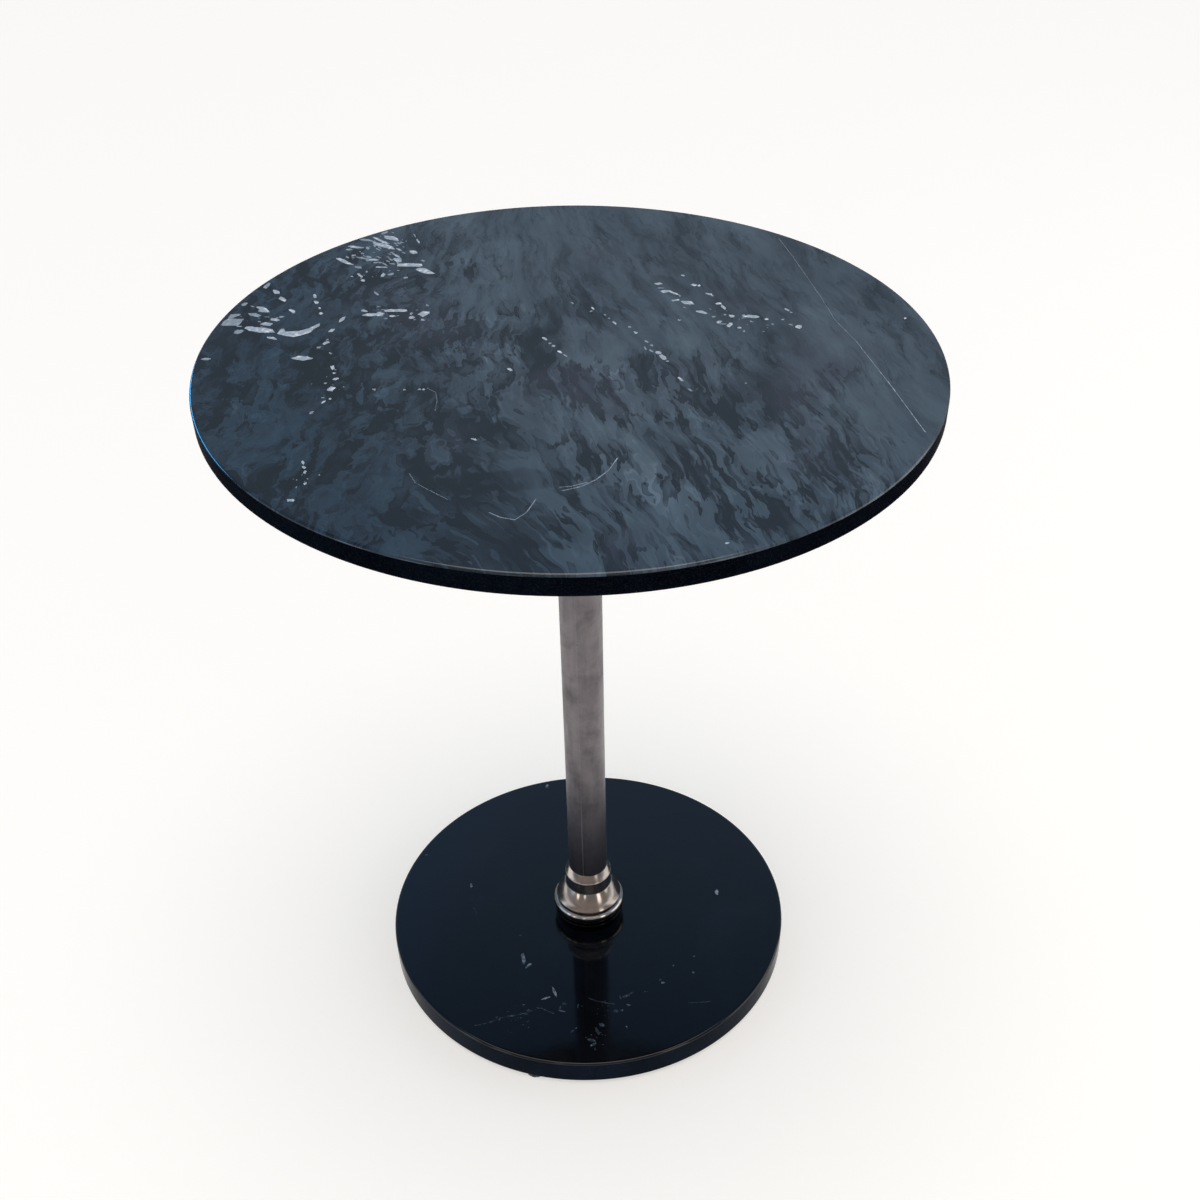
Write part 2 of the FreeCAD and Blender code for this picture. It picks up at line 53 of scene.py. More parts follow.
class Graph:
    """A short way to write a material's or a world's nodes: each call adds a node and returns its output."""

    def __init__(self, name, world=None):
        self.material = world or bpy.data.materials.new(name)
        self.material.use_nodes = True
        self.tree = self.material.node_tree
        self.tree.nodes.clear()
        coordinates = self.add("ShaderNodeTexCoord").outputs
        self.place = coordinates["Object"]
        self.heading = coordinates["Generated"]

    def add(self, kind, *inputs, **settings):
        """Adds a node, sets its properties, and fills its inputs with values or sockets."""
        node = self.tree.nodes.new(kind)
        for key, value in settings.items():
            setattr(node, key, value)
        for slot, value in inputs:
            self.feed(node.inputs[slot], value)
        return node

    def feed(self, socket, value):
        """Links a socket to an output, or sets it to a value."""
        if isinstance(value, bpy.types.NodeSocket):
            self.tree.links.new(value, socket)
        elif isinstance(value, (tuple, list)) and len(value) == 3 and socket.type == "RGBA":
            socket.default_value = (*value, 1)
        else:
            socket.default_value = value

    def math(self, operation, *values):
        return self.add("ShaderNodeMath", *enumerate(values), operation=operation).outputs[0]

    def plus(self, first, second):
        return self.math("ADD", first, second)

    def times(self, first, second):
        return self.math("MULTIPLY", first, second)

    def vector(self, operation, *values):
        node = self.add("ShaderNodeVectorMath", *enumerate(values), operation=operation)
        return node.outputs["Value" if operation in ("LENGTH", "DOT_PRODUCT") else 0]

    def along(self, place, direction):
        """How far a place lies in a direction."""
        return self.vector("DOT_PRODUCT", place, direction)

    def mapped(self, place=None, scale=(1, 1, 1), turn=0):
        """The place turned about Z by some degrees, then stretched."""
        turned = self.add("ShaderNodeVectorRotate", ("Vector", place or self.place),
                          ("Angle", math.radians(turn)), rotation_type="Z_AXIS").outputs[0]
        return self.vector("MULTIPLY", turned, scale)

    def noise(self, place, scale, detail=4, roughness=0.55, distortion=0.0, colour=False):
        node = self.add("ShaderNodeTexNoise", ("Vector", place), ("Scale", scale), ("Detail", detail),
                        ("Roughness", roughness), ("Distortion", distortion))
        return node.outputs["Color" if colour else "Fac"]

    def warp(self, place, scale, amount, detail=3):
        """The place pushed about by a noise of some scale, by up to an amount."""
        push = self.noise(place, scale, detail, colour=True)
        centred = self.vector("SUBTRACT", push, (0.5, 0.5, 0.5))
        return self.vector("ADD", place, self.vector("MULTIPLY", centred, (amount, amount, amount)))

    def step(self, value, low, high, out_low=0.0, out_high=1.0):
        """A smooth step of value from low to high."""
        node = self.add("ShaderNodeMapRange", ("Value", value), ("From Min", low), ("From Max", high),
                        ("To Min", out_low), ("To Max", out_high), interpolation_type="SMOOTHSTEP")
        return node.outputs[0]

    def ramp(self, value, stops, smooth=True):
        """A colour ramp; stops are (position, colour)."""
        node = self.add("ShaderNodeValToRGB", (0, value))
        ramp = node.color_ramp
        ramp.interpolation = "EASE" if smooth else "LINEAR"
        while len(ramp.elements) < len(stops):
            ramp.elements.new(0.5)
        for element, (position, colour) in zip(ramp.elements, stops):
            element.position = position
            element.color = (*colour, 1)
        return node.outputs[0]

    def mix(self, factor, first, second, blend="MIX"):
        """The first colour mixed or multiplied with the second, by a factor."""
        node = self.add("ShaderNodeMix", data_type="RGBA", blend_type=blend)
        for index, value in ((0, factor), (6, first), (7, second)):
            self.feed(node.inputs[index], value)
        return node.outputs[2]

    def bump(self, height, strength, distance, normal=None):
        inputs = [("Strength", strength), ("Distance", distance), ("Height", height)]
        if normal is not None:
            inputs.append(("Normal", normal))
        return self.add("ShaderNodeBump", *inputs).outputs[0]

    def finish(self, colour, roughness, normal=None, metallic=0.0, **constants):
        """Closes the material with a Principled shader."""
        shader = self.add("ShaderNodeBsdfPrincipled", ("Base Color", colour),
                          ("Roughness", roughness), ("Metallic", metallic))
        if normal is not None:
            self.feed(shader.inputs["Normal"], normal)
        for name, value in constants.items():
            self.feed(shader.inputs[name.replace("_", " ")], value)
        self.add("ShaderNodeOutputMaterial", ("Surface", shader.outputs[0]))
        return self.material


# ------------------------------------------------------------------ chips and veins let into stone

# The materials of a slab besides its polished face, by their index.
WALL, WHITE, GREY, HONED = 1, 2, 3, 4
# Spare points of a slab's face, in millimetres: how far apart, from where outwards, and how clear of the rim.
GRID, GRID_START, RIM_GAP = 22, 60, 6

# White chips in the top: x, y, length and width in millimetres on the slab, and turn in degrees.
TOP_WHITE = [
    (-268, 131, 10, 5, -55), (-260, 116, 11, 5.5, -60), (-249, 92, 10, 5, -55), (-232, 121, 8, 3, -75),
    (-229.5, 109, 8, 3.5, -65), (-225, 97, 4.5, 2.5, -75), (-223, 87, 5.5, 3.5, -80), (-275, 96, 15, 6, -45),
    (-262, 76, 9, 5, -25), (-268, 68, 12, 7, -5), (-272, 57, 26, 9, -18), (-281, 60, 12, 7, -20),
    (-260, 41, 12, 3.5, -28), (-203, 75, 12, 3.5, 70), (-210, 54, 8, 4, 50), (-185, 91, 7, 5, -40),
    (-179, 83, 15, 5, 5), (-171, 84, 9, 8, 40), (-157, 90.5, 21, 6, -2), (-159.5, 80, 5, 5, 0),
    (-142, 77, 6, 5.5, 0), (-131.5, 84, 12, 9, 60), (-132, 72, 4, 4, 0), (-191.5, 152, 6, 3.5, -60),
    (-195, 163, 11, 3, -58), (-174, 163, 10, 4, 85), (-136, 170.5, 20, 8.5, -33), (-151, 184, 26, 8, -6),
    (-163, 195, 11, 6, -45), (-164, 204, 8, 3, -50), (-149, 212, 10, 6, -35), (-146, 236, 12, 2, -75),
    (-172, 244, 20, 6.5, -41), (-178, 227, 30, 6, -38), (-182, 239, 22, 3.5, -46), (-163, 218, 8, 3, -50),
    (-205, 225, 16, 4.5, -15), (-212, 193, 23, 4.5, -42), (-185, 196, 10, 4, -12), (-177, 180, 12, 3, -5),
    (-230, 4, 18, 7, -3), (-213, 31, 7, 5, 50), (-202.5, -13, 8, 3.5, -80), (-200, -23, 3.5, 3.5, 0),
    (-198, -33, 6, 4, 30), (-200, -50, 9, 6, 80), (-199.5, -66, 3, 3, 0), (-204, -71, 6, 2, 60),
    (-210, -164, 6, 2, -75), (-208.5, -171, 5, 2.5, -60), (-207, -178, 5, 2.5, 90), (-205, -194, 4, 2.5, 80),
    (-213, -217, 6, 4, 10), (-212, -228, 14, 5, 85), (-127.5, -53, 3, 3, 0), (-124, -53, 2.5, 3, 0),
    (80.5, 138, 8, 5, 5), (86, 122, 11, 5, 2), (93, 118.5, 12, 3.5, -45), (94, 104, 8, 3.5, 15),
    (104.5, 98.5, 13, 6, -25), (116, 79, 13, 5, -30), (130, 60, 6.5, 5, 20), (139, 54, 9, 4.5, 65),
    (147, 48.5, 4.5, 3.5, -60), (113, 134.5, 6, 4.5, -40), (117.5, 133, 4.5, 3, 80), (125, 115.5, 7, 4, -30),
    (132.5, 96, 6, 4, 20), (136, 89, 11, 3, -75), (142, 71, 6.5, 4.5, -60), (160, 69.5, 15, 5, -8),
    (172.5, 64, 4, 4, 20), (199.5, 48.5, 7, 6.5, 60), (193, 82, 7, 3, -60), (104, 154.5, 4, 4, 0),
    (18.5, 90, 6, 2, -65), (37, 61, 7, 2.2, -65), (55, 42, 5.5, 3.5, -60), (64, 25, 5, 2.5, -65),
    (73, 4.5, 7, 4.5, -50), (76.5, -3.5, 11, 5, -62), (89, -42.5, 8, 2.8, -60), (-24.5, 33, 7, 3, -55),
    (-17, 19.5, 3.5, 3.5, 0), (-11.5, 8.5, 6, 2.8, -45), (-54, -21, 7, 3, -50), (-80, -134, 6, 2.2, -30),
    (107, -285, 4, 3, 0), (297, 62, 4, 2.5, 60),
]

# The one great white splash, point by point, anticlockwise.
TOP_SPLASH = [
    (-257, 49), (-250, 45.5), (-242, 42.5), (-235, 46), (-228, 51), (-226, 57), (-221.5, 63), (-222, 68),
    (-225, 65), (-230, 59), (-238, 54), (-244, 53.5), (-250, 53), (-252, 58.5), (-254.5, 58),
]

# Greyer chips of the top.
TOP_GREY = [
    (-278, 144, 13, 6, 80), (-281, 86, 13, 6, -28), (-293, 107, 8, 5, 60), (-299, 84, 12, 7, 35),
    (-299, 72, 20, 13, 28), (-290, 54, 9, 8, 10), (-143, 84, 5, 3, 80), (-129.5, 100, 5, 2.5, -60),
    (-177, 125, 9, 2.5, -60), (-167, 165, 8, 4, 50), (-153, 157, 4.5, 4, 0), (-150, 249, 8, 1.2, -75),
    (-139, 193, 4.5, 3, -50), (-169.5, 212, 3.5, 2.5, 0), (-180, 257, 10, 5, 60), (-197, 241, 17, 4, -24),
    (-207, 241, 9, 3, -25), (-205, 206, 5.5, 3.5, 60), (-183, 219, 7, 2, -50), (-198, 180, 9, 3.5, -30),
    (-196, 200, 15, 3, -24), (-183, 190, 5.5, 4, 0), (-174, 186, 9, 2, -50), (-311, 5, 9, 4, 0),
    (-218, 23, 5, 3, 30), (-212, 37, 4, 2.5, 50), (-207, 12, 4.5, 2, -50), (-200, -17, 2, 2, 0),
    (-205.5, -64, 3, 2, 0), (-206, -40, 3, 2.5, 0), (-140, -53, 3, 3, 0), (-165, -52, 4.5, 3, -40),
    (-212, -88, 6, 3, 70), (82, 129, 7, 1.6, 0), (98, 113, 5, 3, -70), (126, 70.5, 4, 3.5, -10),
    (133, 56, 6, 2, 0), (150.5, 42, 4, 2.5, 90), (128, 112, 4, 2.5, -70), (136.5, 74, 3, 3, 0),
    (153, 72, 5, 2.6, 60), (152, 67, 4, 2.6, 0), (158.5, 60, 3, 3, 0), (177, 54.5, 2.5, 2.5, 0),
    (193, 53, 5, 2.5, -50), (196, 77, 4, 2.4, -60), (187, 63, 3, 2.5, 0), (95, 64.5, 3.5, 3, 0),
    (17, 84, 3, 3, 0), (29, 77, 3.4, 2, -60), (32.5, 70, 4, 2, -65), (50, 53, 4, 2.4, 0),
    (68, 18, 4, 3, -45), (62, 13, 6, 1.8, -75), (67, 8, 6, 2, -60), (80, -11, 3.5, 2.5, -70),
    (96, -61, 6, 2.2, -55), (-20, 24.5, 3, 3, 0), (-7, 2, 6, 1.8, -55), (0.5, 101, 5, 2.2, -60),
    (143, -51, 2, 2, 0),
]

# Loose sprays of small grey flecks: x, y, reach, how many, the longest, and turn.
TOP_SPRAYS = [
    (-183, 205, 42, 46, 7, -48), (-172, 240, 26, 22, 6, -42), (-186, 168, 22, 16, 5, -55),
    (-280, 78, 30, 20, 6, -20), (-160, 84, 28, 14, 4, 5), (-203, -40, 20, 8, 3, 80),
    (122, 84, 30, 12, 3.5, -45), (165, 62, 28, 12, 3.5, -10), (-206, -190, 24, 8, 3, 85),
]

# Thin pale lines of the top as (points, width): a healed crack in four stretches, then fine curved ones.
TOP_LINES = [
    ([(200, 246), (212, 190), (226, 112)], 0.35),
    ([(226, 112), (234, 60), (246, 22)], 0.3),
    ([(246, 22), (262, -50)], 0.5),
    ([(262, -50), (279, -135)], 0.75),
    ([(-128, -182), (-122, -196), (-112, -206), (-97, -220)], 0.35),
    ([(-66, -238), (-56, -246), (-46, -249), (-38, -240), (-31, -222)], 0.7),
    ([(-12, -211), (2, -206), (14, -197), (24, -184), (32, -166)], 0.9),
    ([(-14, -206), (-4, -205), (8, -200)], 0.7),
    ([(-122, -50), (-114, -58), (-112, -72), (-113, -88)], 0.3),
    ([(-235, 10), (-226, 9)], 0.4),
]

# The base's chips, in the same terms.
BASE_WHITE = [
    (-76, -75, 16, 4.5, 97), (-70, -85.5, 9, 3.6, 48), (-41, -125, 17, 2.8, -73), (-50.5, -133, 11, 2.2, 18),
    (151, 17.5, 9, 5, 85), (-139, 41, 8, 3, -75), (-49, 209, 6, 3.6, 80), (80, -117, 4.5, 3.2, 0),
    (40, -146.5, 6, 1.8, -15), (-33, -152, 7, 1.8, -15),
]
BASE_GREY = [
    (22.5, -144, 5, 2.2, -20), (26, -154.5, 6, 4.5, 10), (32.5, -153.5, 4, 3.6, 0), (-80, -40, 3, 2.6, 0),
    (31.5, -136, 5.5, 2.6, -70), (5, -181, 12, 3.4, -72),
    (77, -113, 4, 2.2, 60), (115, -104, 3.5, 3, 0), (0, -137, 9, 1.8, -25), (13, -142, 8, 2.2, -20),
    (-15.5, -146, 7, 2.2, 85), (-11, -146, 2.4, 1.6, 0), (-30, -142, 5, 3.4, 0), (-35, -147, 6, 2.2, 80),
    (-101, -160, 5, 2.2, 80), (-104, -157, 5, 1.4, 30), (-110, -163, 6, 2.4, 20), (-88, -156, 10, 2.4, 5),
    (-73, -154, 6, 2.2, -15), (-70, -149, 5, 2.4, 30), (-22, -180, 6, 2, 45), (-18, -176, 5, 1.2, 40),
    (10, -173, 8, 4.5, -30), (-2, -193, 11, 3.4, -18), (0, -199, 8, 3.2, 25), (2, -205, 5, 1.8, 90),
    (37, -177, 5.5, 2.2, -50), (38, -134, 9, 3.6, 20), (44, -130, 6, 2.6, 30), (-194, 94, 4, 2, 0),
    (93, -93, 3, 2.4, 0), (117, -80, 3, 2.4, 0), (-125, -167, 7, 1.4, 4),
]
BASE_SPRAYS = [
    (-80, -157, 32, 18, 4, 15), (15, -148, 26, 14, 4, -15), (2, -192, 16, 14, 4, -40),
    (90, -105, 40, 6, 2.5, 0),
]
BASE_LINES = [
    ([(-62, -146), (-55, -147), (-49, -151), (-42, -155)], 1.1),
    ([(-4, -135), (6, -140), (16, -143), (25, -145)], 0.9),
    ([(-128, -168), (-112, -164), (-100, -158), (-84, -156), (-66, -150)], 0.6),
    ([(105, -147), (118, -146.5), (131, -146)], 0.5),
    ([(-136, 8), (-131, -4)], 0.4),
]


def is_round_about(outline):
    """Whether an outline runs anticlockwise all the way round its own middle, so it can't cross itself."""
    centre = sum(outline, Vector((0, 0))) / len(outline)
    arms = [point - centre for point in outline]
    return all(arm.cross(after) > 0 for arm, after in zip(arms, arms[1:] + arms[:1]))


def chip_outline(draw, x, y, length, width, turn):
    """A ragged chip's outline in millimetres: a few uneven corners around an oval."""
    along = Vector((math.cos(math.radians(turn)), math.sin(math.radians(turn))))
    across = Vector((-along.y, along.x))
    corners = 5 if length < 6 else 7 if length < 14 else 13
    outline = []
    while not outline or not is_round_about(outline):
        outline = []
        for index in range(corners):
            angle = 2 * math.pi * (index + draw.uniform(-0.38, 0.38)) / corners
            ahead = length / 2 * math.cos(angle) * draw.uniform(0.90, 1.14)
            aside = width / 2 * math.sin(angle) * draw.uniform(0.82, 1.22)
            aside += 0.10 * width * math.sin(3 * angle + x)
            outline.append(Vector((x, y)) + along * ahead + across * aside)
    return outline


def spray(draw, x, y, reach, count, longest, turn):
    """The outlines of some small flecks around a place, thicker towards its middle."""
    flecks = []
    for _ in range(count):
        angle = draw.uniform(0, 2 * math.pi)
        away = reach * math.sqrt(draw.random()) * draw.uniform(0.4, 1.0)
        length = longest * draw.uniform(0.25, 1.0) ** 1.5
        flecks.append(chip_outline(draw, x + away * math.cos(angle), y + away * math.sin(angle), length,
                                   length * draw.uniform(0.25, 0.6), turn + draw.gauss(0, 18)))
    return flecks


def line_outlines(draw, points, width):
    """The outlines of a thin line's broken lengths, following points."""
    lengths = []
    for start, end in zip(points, points[1:]):
        start, end = Vector(start), Vector(end)
        along = (end - start).normalized()
        across = Vector((-along.y, along.x))
        cursor = 0.0
        while cursor < (end - start).length:
            stretch = min(draw.uniform(6, 22), (end - start).length - cursor + 0.3)
            first = start + along * cursor + across * draw.uniform(-0.2, 0.2)
            last = first + along * stretch
            half = across * width / 2 * draw.uniform(0.6, 1.2)
            near, far = first.lerp(last, 0.12), first.lerp(last, 0.88)
            lengths.append([first, near - half, far - half, last, far + half, near + half])
            cursor += stretch * draw.uniform(0.84, 0.90)
    return lengths


def inlay(piece, rim, radius, chips, hole=None):
    """Closes a slab's polished face with flat faces that have chips let into them.

    The rim, and a hole if there is one, are slices of the piece's vertices. Chips are (kind, outline in
    millimetres); the faces inside an outline get that kind as their material index, and chips reach no
    farther out than the radius.
    """
    work = bmesh.new()
    work.from_mesh(piece.data)
    work.verts.ensure_lookup_table()
    edge = list(work.verts)[rim]
    inner = list(work.verts)[hole] if hole else []
    height = edge[0].co.z
    places = [vertex.co.xy for vertex in edge + inner]
    loops = [list(range(len(edge)))]
    kinds = [0]
    if inner:
        loops.append(list(range(len(edge), len(edge) + len(inner))))
        kinds.append(-1)
    for kind, outline in chips:
        # A chip that the rim cuts short is left out where that could make its outline cross itself.
        held = [point * min(1.0, radius / point.length) for point in outline]
        if is_round_about(held) or held == outline:
            loops.append(list(range(len(places), len(places) + len(held))))
            places += [point * MM for point in held]
            kinds.append(kind)
    steps = int(radius / GRID)
    for row in range(-steps, steps + 1):
        for column in range(-steps, steps + 1):
            point = Vector((GRID * (column + 0.5 * (row % 2)), GRID * row))
            if GRID_START < point.length < radius - RIM_GAP:
                places.append(point * MM)
    made = delaunay_2d_cdt(places, [], loops, 1, 1e-7, True)
    own = []
    for point, origins in zip(made[0], made[3]):
        known = [origin for origin in origins if origin < len(edge) + len(inner)]
        own.append((edge + inner)[known[0]] if known else work.verts.new((point.x, point.y, height)))
    for corners, sources in zip(made[2], made[5]):
        held = [kinds[source] for source in sources]
        if -1 not in held:
            face = work.faces.new([own[corner] for corner in corners])
            face.material_index = min((kind for kind in held if kind), default=0)
            face.smooth = True
    bmesh.ops.recalc_face_normals(work, faces=work.faces)
    work.to_mesh(piece.data)
    work.free()


def all_chips(seed, white, grey, sprays, lines, splash=()):
    """Every chip of a slab as (kind, outline)."""
    draw = random.Random(seed)
    chips = [(WHITE, chip_outline(draw, *values)) for values in white]
    if splash:
        chips.append((WHITE, [Vector(point) for point in splash]))
    chips += [(GREY, chip_outline(draw, *values)) for values in grey]
    for values in sprays:
        chips += [(GREY, outline) for outline in spray(draw, *values)]
    for points, width in lines:
        chips += [(GREY, outline) for outline in line_outlines(draw, points, width)]
    return chips


# ------------------------------------------------------------------ stone


def flat(graph):
    """The place with its height set to zero, so that a figure runs straight down through a slab."""
    return graph.vector("MULTIPLY", graph.place, (1, 1, 0))


def vein_stone(name, pale, dull, patch, cover):
    """Calcite: white, cloudy and a little see-through, so patches of it are dulled by the stone below."""
    graph = Graph(name)
    place = flat(graph)
    cloudy = graph.noise(graph.warp(place, 90, 0.004), patch, 4, 0.6)
    colour = graph.mix(graph.step(cloudy, 0.50 - cover, 0.75 - cover), dull, pale)
    smear = graph.step(graph.noise(place, 9, 5), 0.35, 0.7, 0.10, 0.20)
    return graph.finish(colour, smear, graph.bump(graph.noise(place, 26, 3), 0.12, 0.0012))


# Broad light and dark places of the top: x, y, half length, half width, turn and how much lighter.
TOP_CLOUDS = [
    (-26, 78, 46, 15, 80, -0.26), (-30, 4, 60, 19, 88, -0.24), (-14, -52, 30, 13, 40, -0.18),
    (44, 205, 75, 10, -74, -0.20), (78, 92, 75, 12, -74, -0.18), (100, -30, 48, 9, -62, -0.20),
    (92, 134, 26, 13, -55, -0.22), (-106, 152, 20, 20, 0, -0.14),
    (-168, 22, 66, 40, 0, -0.20), (-135, -66, 34, 14, 60, -0.26), (-96, -120, 70, 16, -66, -0.24),
    (-170, -110, 40, 30, -60, -0.16), (-55, -192, 62, 16, 8, -0.24), (-30, -262, 22, 32, 84, -0.20),
    (150, -82, 52, 30, 78, -0.22), (70, -160, 64, 14, -66, -0.18), (205, -180, 50, 26, 60, -0.10),
    (190, 20, 40, 18, -70, -0.14), (-282, 30, 34, 26, 0, -0.18), (-208, -40, 60, 24, 86, -0.12),
    (-72, 195, 44, 34, 50, 0.14), (22, 4, 74, 22, -68, 0.26), (70, 34, 60, 30, -60, 0.14),
    (16, -130, 44, 30, -60, 0.12),
    (142, -178, 56, 24, 78, 0.12), (-264, -62, 40, 18, 80, 0.10), (-232, -130, 34, 20, 60, 0.12),
    (-142, -205, 36, 22, 10, 0.10), (80, -238, 40, 18, -70, 0.08),
]


def cloud(graph, place, x, y, length, width, turn, gain):
    """An oval patch, counted in how much it lightens the stone."""
    centred = graph.vector("SUBTRACT", place, (x * MM, y * MM, 0))
    shrunk = graph.mapped(centred, scale=(1 / (length * MM), 1 / (width * MM), 0), turn=-turn)
    return graph.step(graph.vector("LENGTH", shrunk), 1.12, 0.78, 0.0, gain)


def stroke(graph, field, sharp, full, gone, gain, kept):
    """Brush strokes where a noise field passes a level: one crisp side, fading out to the other."""
    faded = graph.step(field, full, gone, gain, kept * gain)
    return graph.times(graph.step(field, sharp, full), faded)


def smoky_figure(graph, place):
    """The top's cloudy figure, 0 dark to 1 light: long drifts on the right and swirls on the left."""
    loose = graph.warp(place, 5.0, 0.045, 4)
    side = graph.step(graph.along(loose, (1, 0, 0)), -0.16, 0.02)
    straight = graph.mapped(graph.warp(loose, 20, 0.006, 3), scale=(1.0, 0.20, 1), turn=-13)
    curled = graph.mapped(graph.warp(loose, 14, 0.040, 3), scale=(1.0, 0.38, 1), turn=8)
    lie = graph.add("ShaderNodeMix", (0, side), (4, curled), (5, straight), data_type="VECTOR").outputs[1]
    soft = graph.noise(lie, 15, 4, 0.6, 0.2)
    shade = graph.step(soft, 0.28, 0.74, 0.36, 0.90)
    torn = graph.warp(loose, 34, 0.022, 3)
    for values in TOP_CLOUDS:
        shade = graph.plus(shade, cloud(graph, torn, *values))
    toward = graph.plus(graph.along(loose, (-1.5, -1.3, 0)), graph.noise(loose, 7, 2))
    busy = graph.step(toward, 0.20, 0.66, 0.22, 1.0)
    busy = graph.times(busy, graph.step(graph.noise(loose, 12, 2), 0.40, 0.56, 0.40, 1.15))
    flames = stroke(graph, graph.noise(lie, 30, 4, 0.58, 0.25), 0.515, 0.535, 0.68, -0.46, 0.6)
    strokes = graph.noise(graph.vector("ADD", lie, (3.1, 1.7, 0)), 70, 3, 0.5, 0.3)
    dark = stroke(graph, strokes, 0.540, 0.555, 0.66, -0.66, 0.5)
    pale = stroke(graph, strokes, 0.455, 0.435, 0.36, 0.34, 0.3)
    fine = graph.noise(graph.vector("ADD", lie, (5.3, 2.9, 0)), 150, 2, 0.5, 0.2)
    scratched = stroke(graph, fine, 0.580, 0.595, 0.66, -0.60, 0.6)
    scratched = graph.times(scratched, graph.step(side, 0.0, 1.0, 0.35, 1.0))
    marks = graph.plus(graph.plus(flames, dark), graph.plus(pale, scratched))
    mottle = graph.noise(graph.vector("ADD", lie, (7.7, 4.3, 0)), 26, 6, 0.68, 0.5)
    shade = graph.plus(shade, graph.times(graph.math("SUBTRACT", mottle, 0.5), 1.1))
    return graph.times(graph.plus(shade, graph.times(marks, busy)), 0.78)


def top_stone(name):
    """Polished, smoky blue-grey marble."""
    graph = Graph(name)
    place = flat(graph)
    figure = smoky_figure(graph, place)
    stone = graph.ramp(figure, [
        (0.00, (0.010, 0.016, 0.022)),
        (0.22, (0.028, 0.041, 0.054)),
        (0.48, (0.066, 0.092, 0.115)),
        (0.78, (0.103, 0.140, 0.168)),
        (1.00, (0.165, 0.205, 0.245))], smooth=False)
    tint = graph.step(graph.noise(graph.warp(place, 6, 0.05), 7, 3), 0.50, 0.68, 0.0, 0.45)
    stone = graph.mix(tint, stone, (0.056, 0.060, 0.082))
    # Darker and bluer towards the left: partly the stone's own tone, partly painted shade and a painted
    # bluish reflection.
    left = graph.step(graph.along(place, (1, 0.25, 0)), -0.02, -0.26, 0.0, 0.9)
    stone = graph.mix(left, stone, graph.mix(1.0, stone, (0.22, 0.36, 0.47), "MULTIPLY"))
    # Darker towards the front: painted shade.
    front = graph.step(graph.along(place, (0, 1, 0)), -0.05, -0.30, 0.0, 0.7)
    stone = graph.mix(front, stone, graph.mix(1.0, stone, (0.68, 0.75, 0.80), "MULTIPLY"))
    grain = graph.noise(place, 900, 2)
    stone = graph.mix(graph.step(grain, 0.35, 0.75, 0.0, 0.10), stone, (0.10, 0.12, 0.14))
    smear = graph.step(graph.noise(graph.warp(place, 4, 0.1), 9, 5), 0.35, 0.7, 0.10, 0.20)
    rub = graph.noise(graph.mapped(place, scale=(1, 7, 1), turn=30), 90, 3)
    roughness = graph.plus(smear, graph.times(rub, 0.05))
    return graph.finish(stone, roughness, graph.bump(graph.noise(place, 26, 3), 0.12, 0.0012))


def wall_stone(name, dark, light, specular, tint=(1, 1, 1), matt=0.0):
    """A slab's side and underside: the same stone seen edge on, without the face's figure. The sides' colours
    and blue specular tints given in make_table carry painted shade and painted sheen; the honed undersides'
    colours are the stone's own.
    """
    graph = Graph(name)
    figure = graph.noise(graph.warp(graph.place, 9, 0.06, 4), 16, 6, 0.6)
    stone = graph.mix(graph.step(figure, 0.38, 0.66), dark, light)
    grain = graph.noise(graph.place, 900, 2)
    stone = graph.mix(graph.step(grain, 0.45, 0.8, 0.0, 0.10), stone, (0.10, 0.12, 0.14))
    rub = graph.noise(graph.mapped(scale=(1, 1, 6)), 80, 3)
    depth = 0.10 + 0.3 * matt
    roughness = graph.plus(graph.times(rub, depth), 0.07 + 0.45 * matt)
    return graph.finish(stone, roughness, graph.bump(rub, depth, 0.0006),
                        Specular_IOR_Level=specular, Specular_Tint=(*tint, 1))


def base_stone(name):
    """Polished, nearly black marble with a faint haze, and painted blue light towards the left side."""
    graph = Graph(name)
    place = flat(graph)
    haze = graph.noise(graph.warp(place, 5, 0.09, 4), 9, 6, 0.62)
    stone = graph.ramp(haze, [
        (0.32, (0.0004, 0.0007, 0.0012)),
        (0.52, (0.0012, 0.0020, 0.0034)),
        (0.72, (0.0042, 0.0060, 0.0092))])
    # Bluer towards the left: painted blue light from the left.
    left = graph.step(graph.along(place, (1, -0.3, 0)), -0.10, -0.25, 0.0, 0.55)
    stone = graph.mix(left, stone, (0.0015, 0.0100, 0.0240))
    dust = graph.step(graph.noise(place, 700, 2), 0.68, 0.80, 0.0, 0.05)
    stone = graph.mix(dust, stone, (0.30, 0.33, 0.36))
    smear = graph.step(graph.noise(graph.warp(place, 5, 0.1), 11, 5), 0.35, 0.75, 0.05, 0.13)
    rub = graph.noise(graph.mapped(place, scale=(1, 9, 1), turn=-40), 120, 3)
    roughness = graph.plus(smear, graph.times(rub, 0.03))
    return graph.finish(stone, roughness, graph.bump(graph.noise(place, 22, 3), 0.08, 0.0010))


# ------------------------------------------------------------------ metals, rubber and plastic


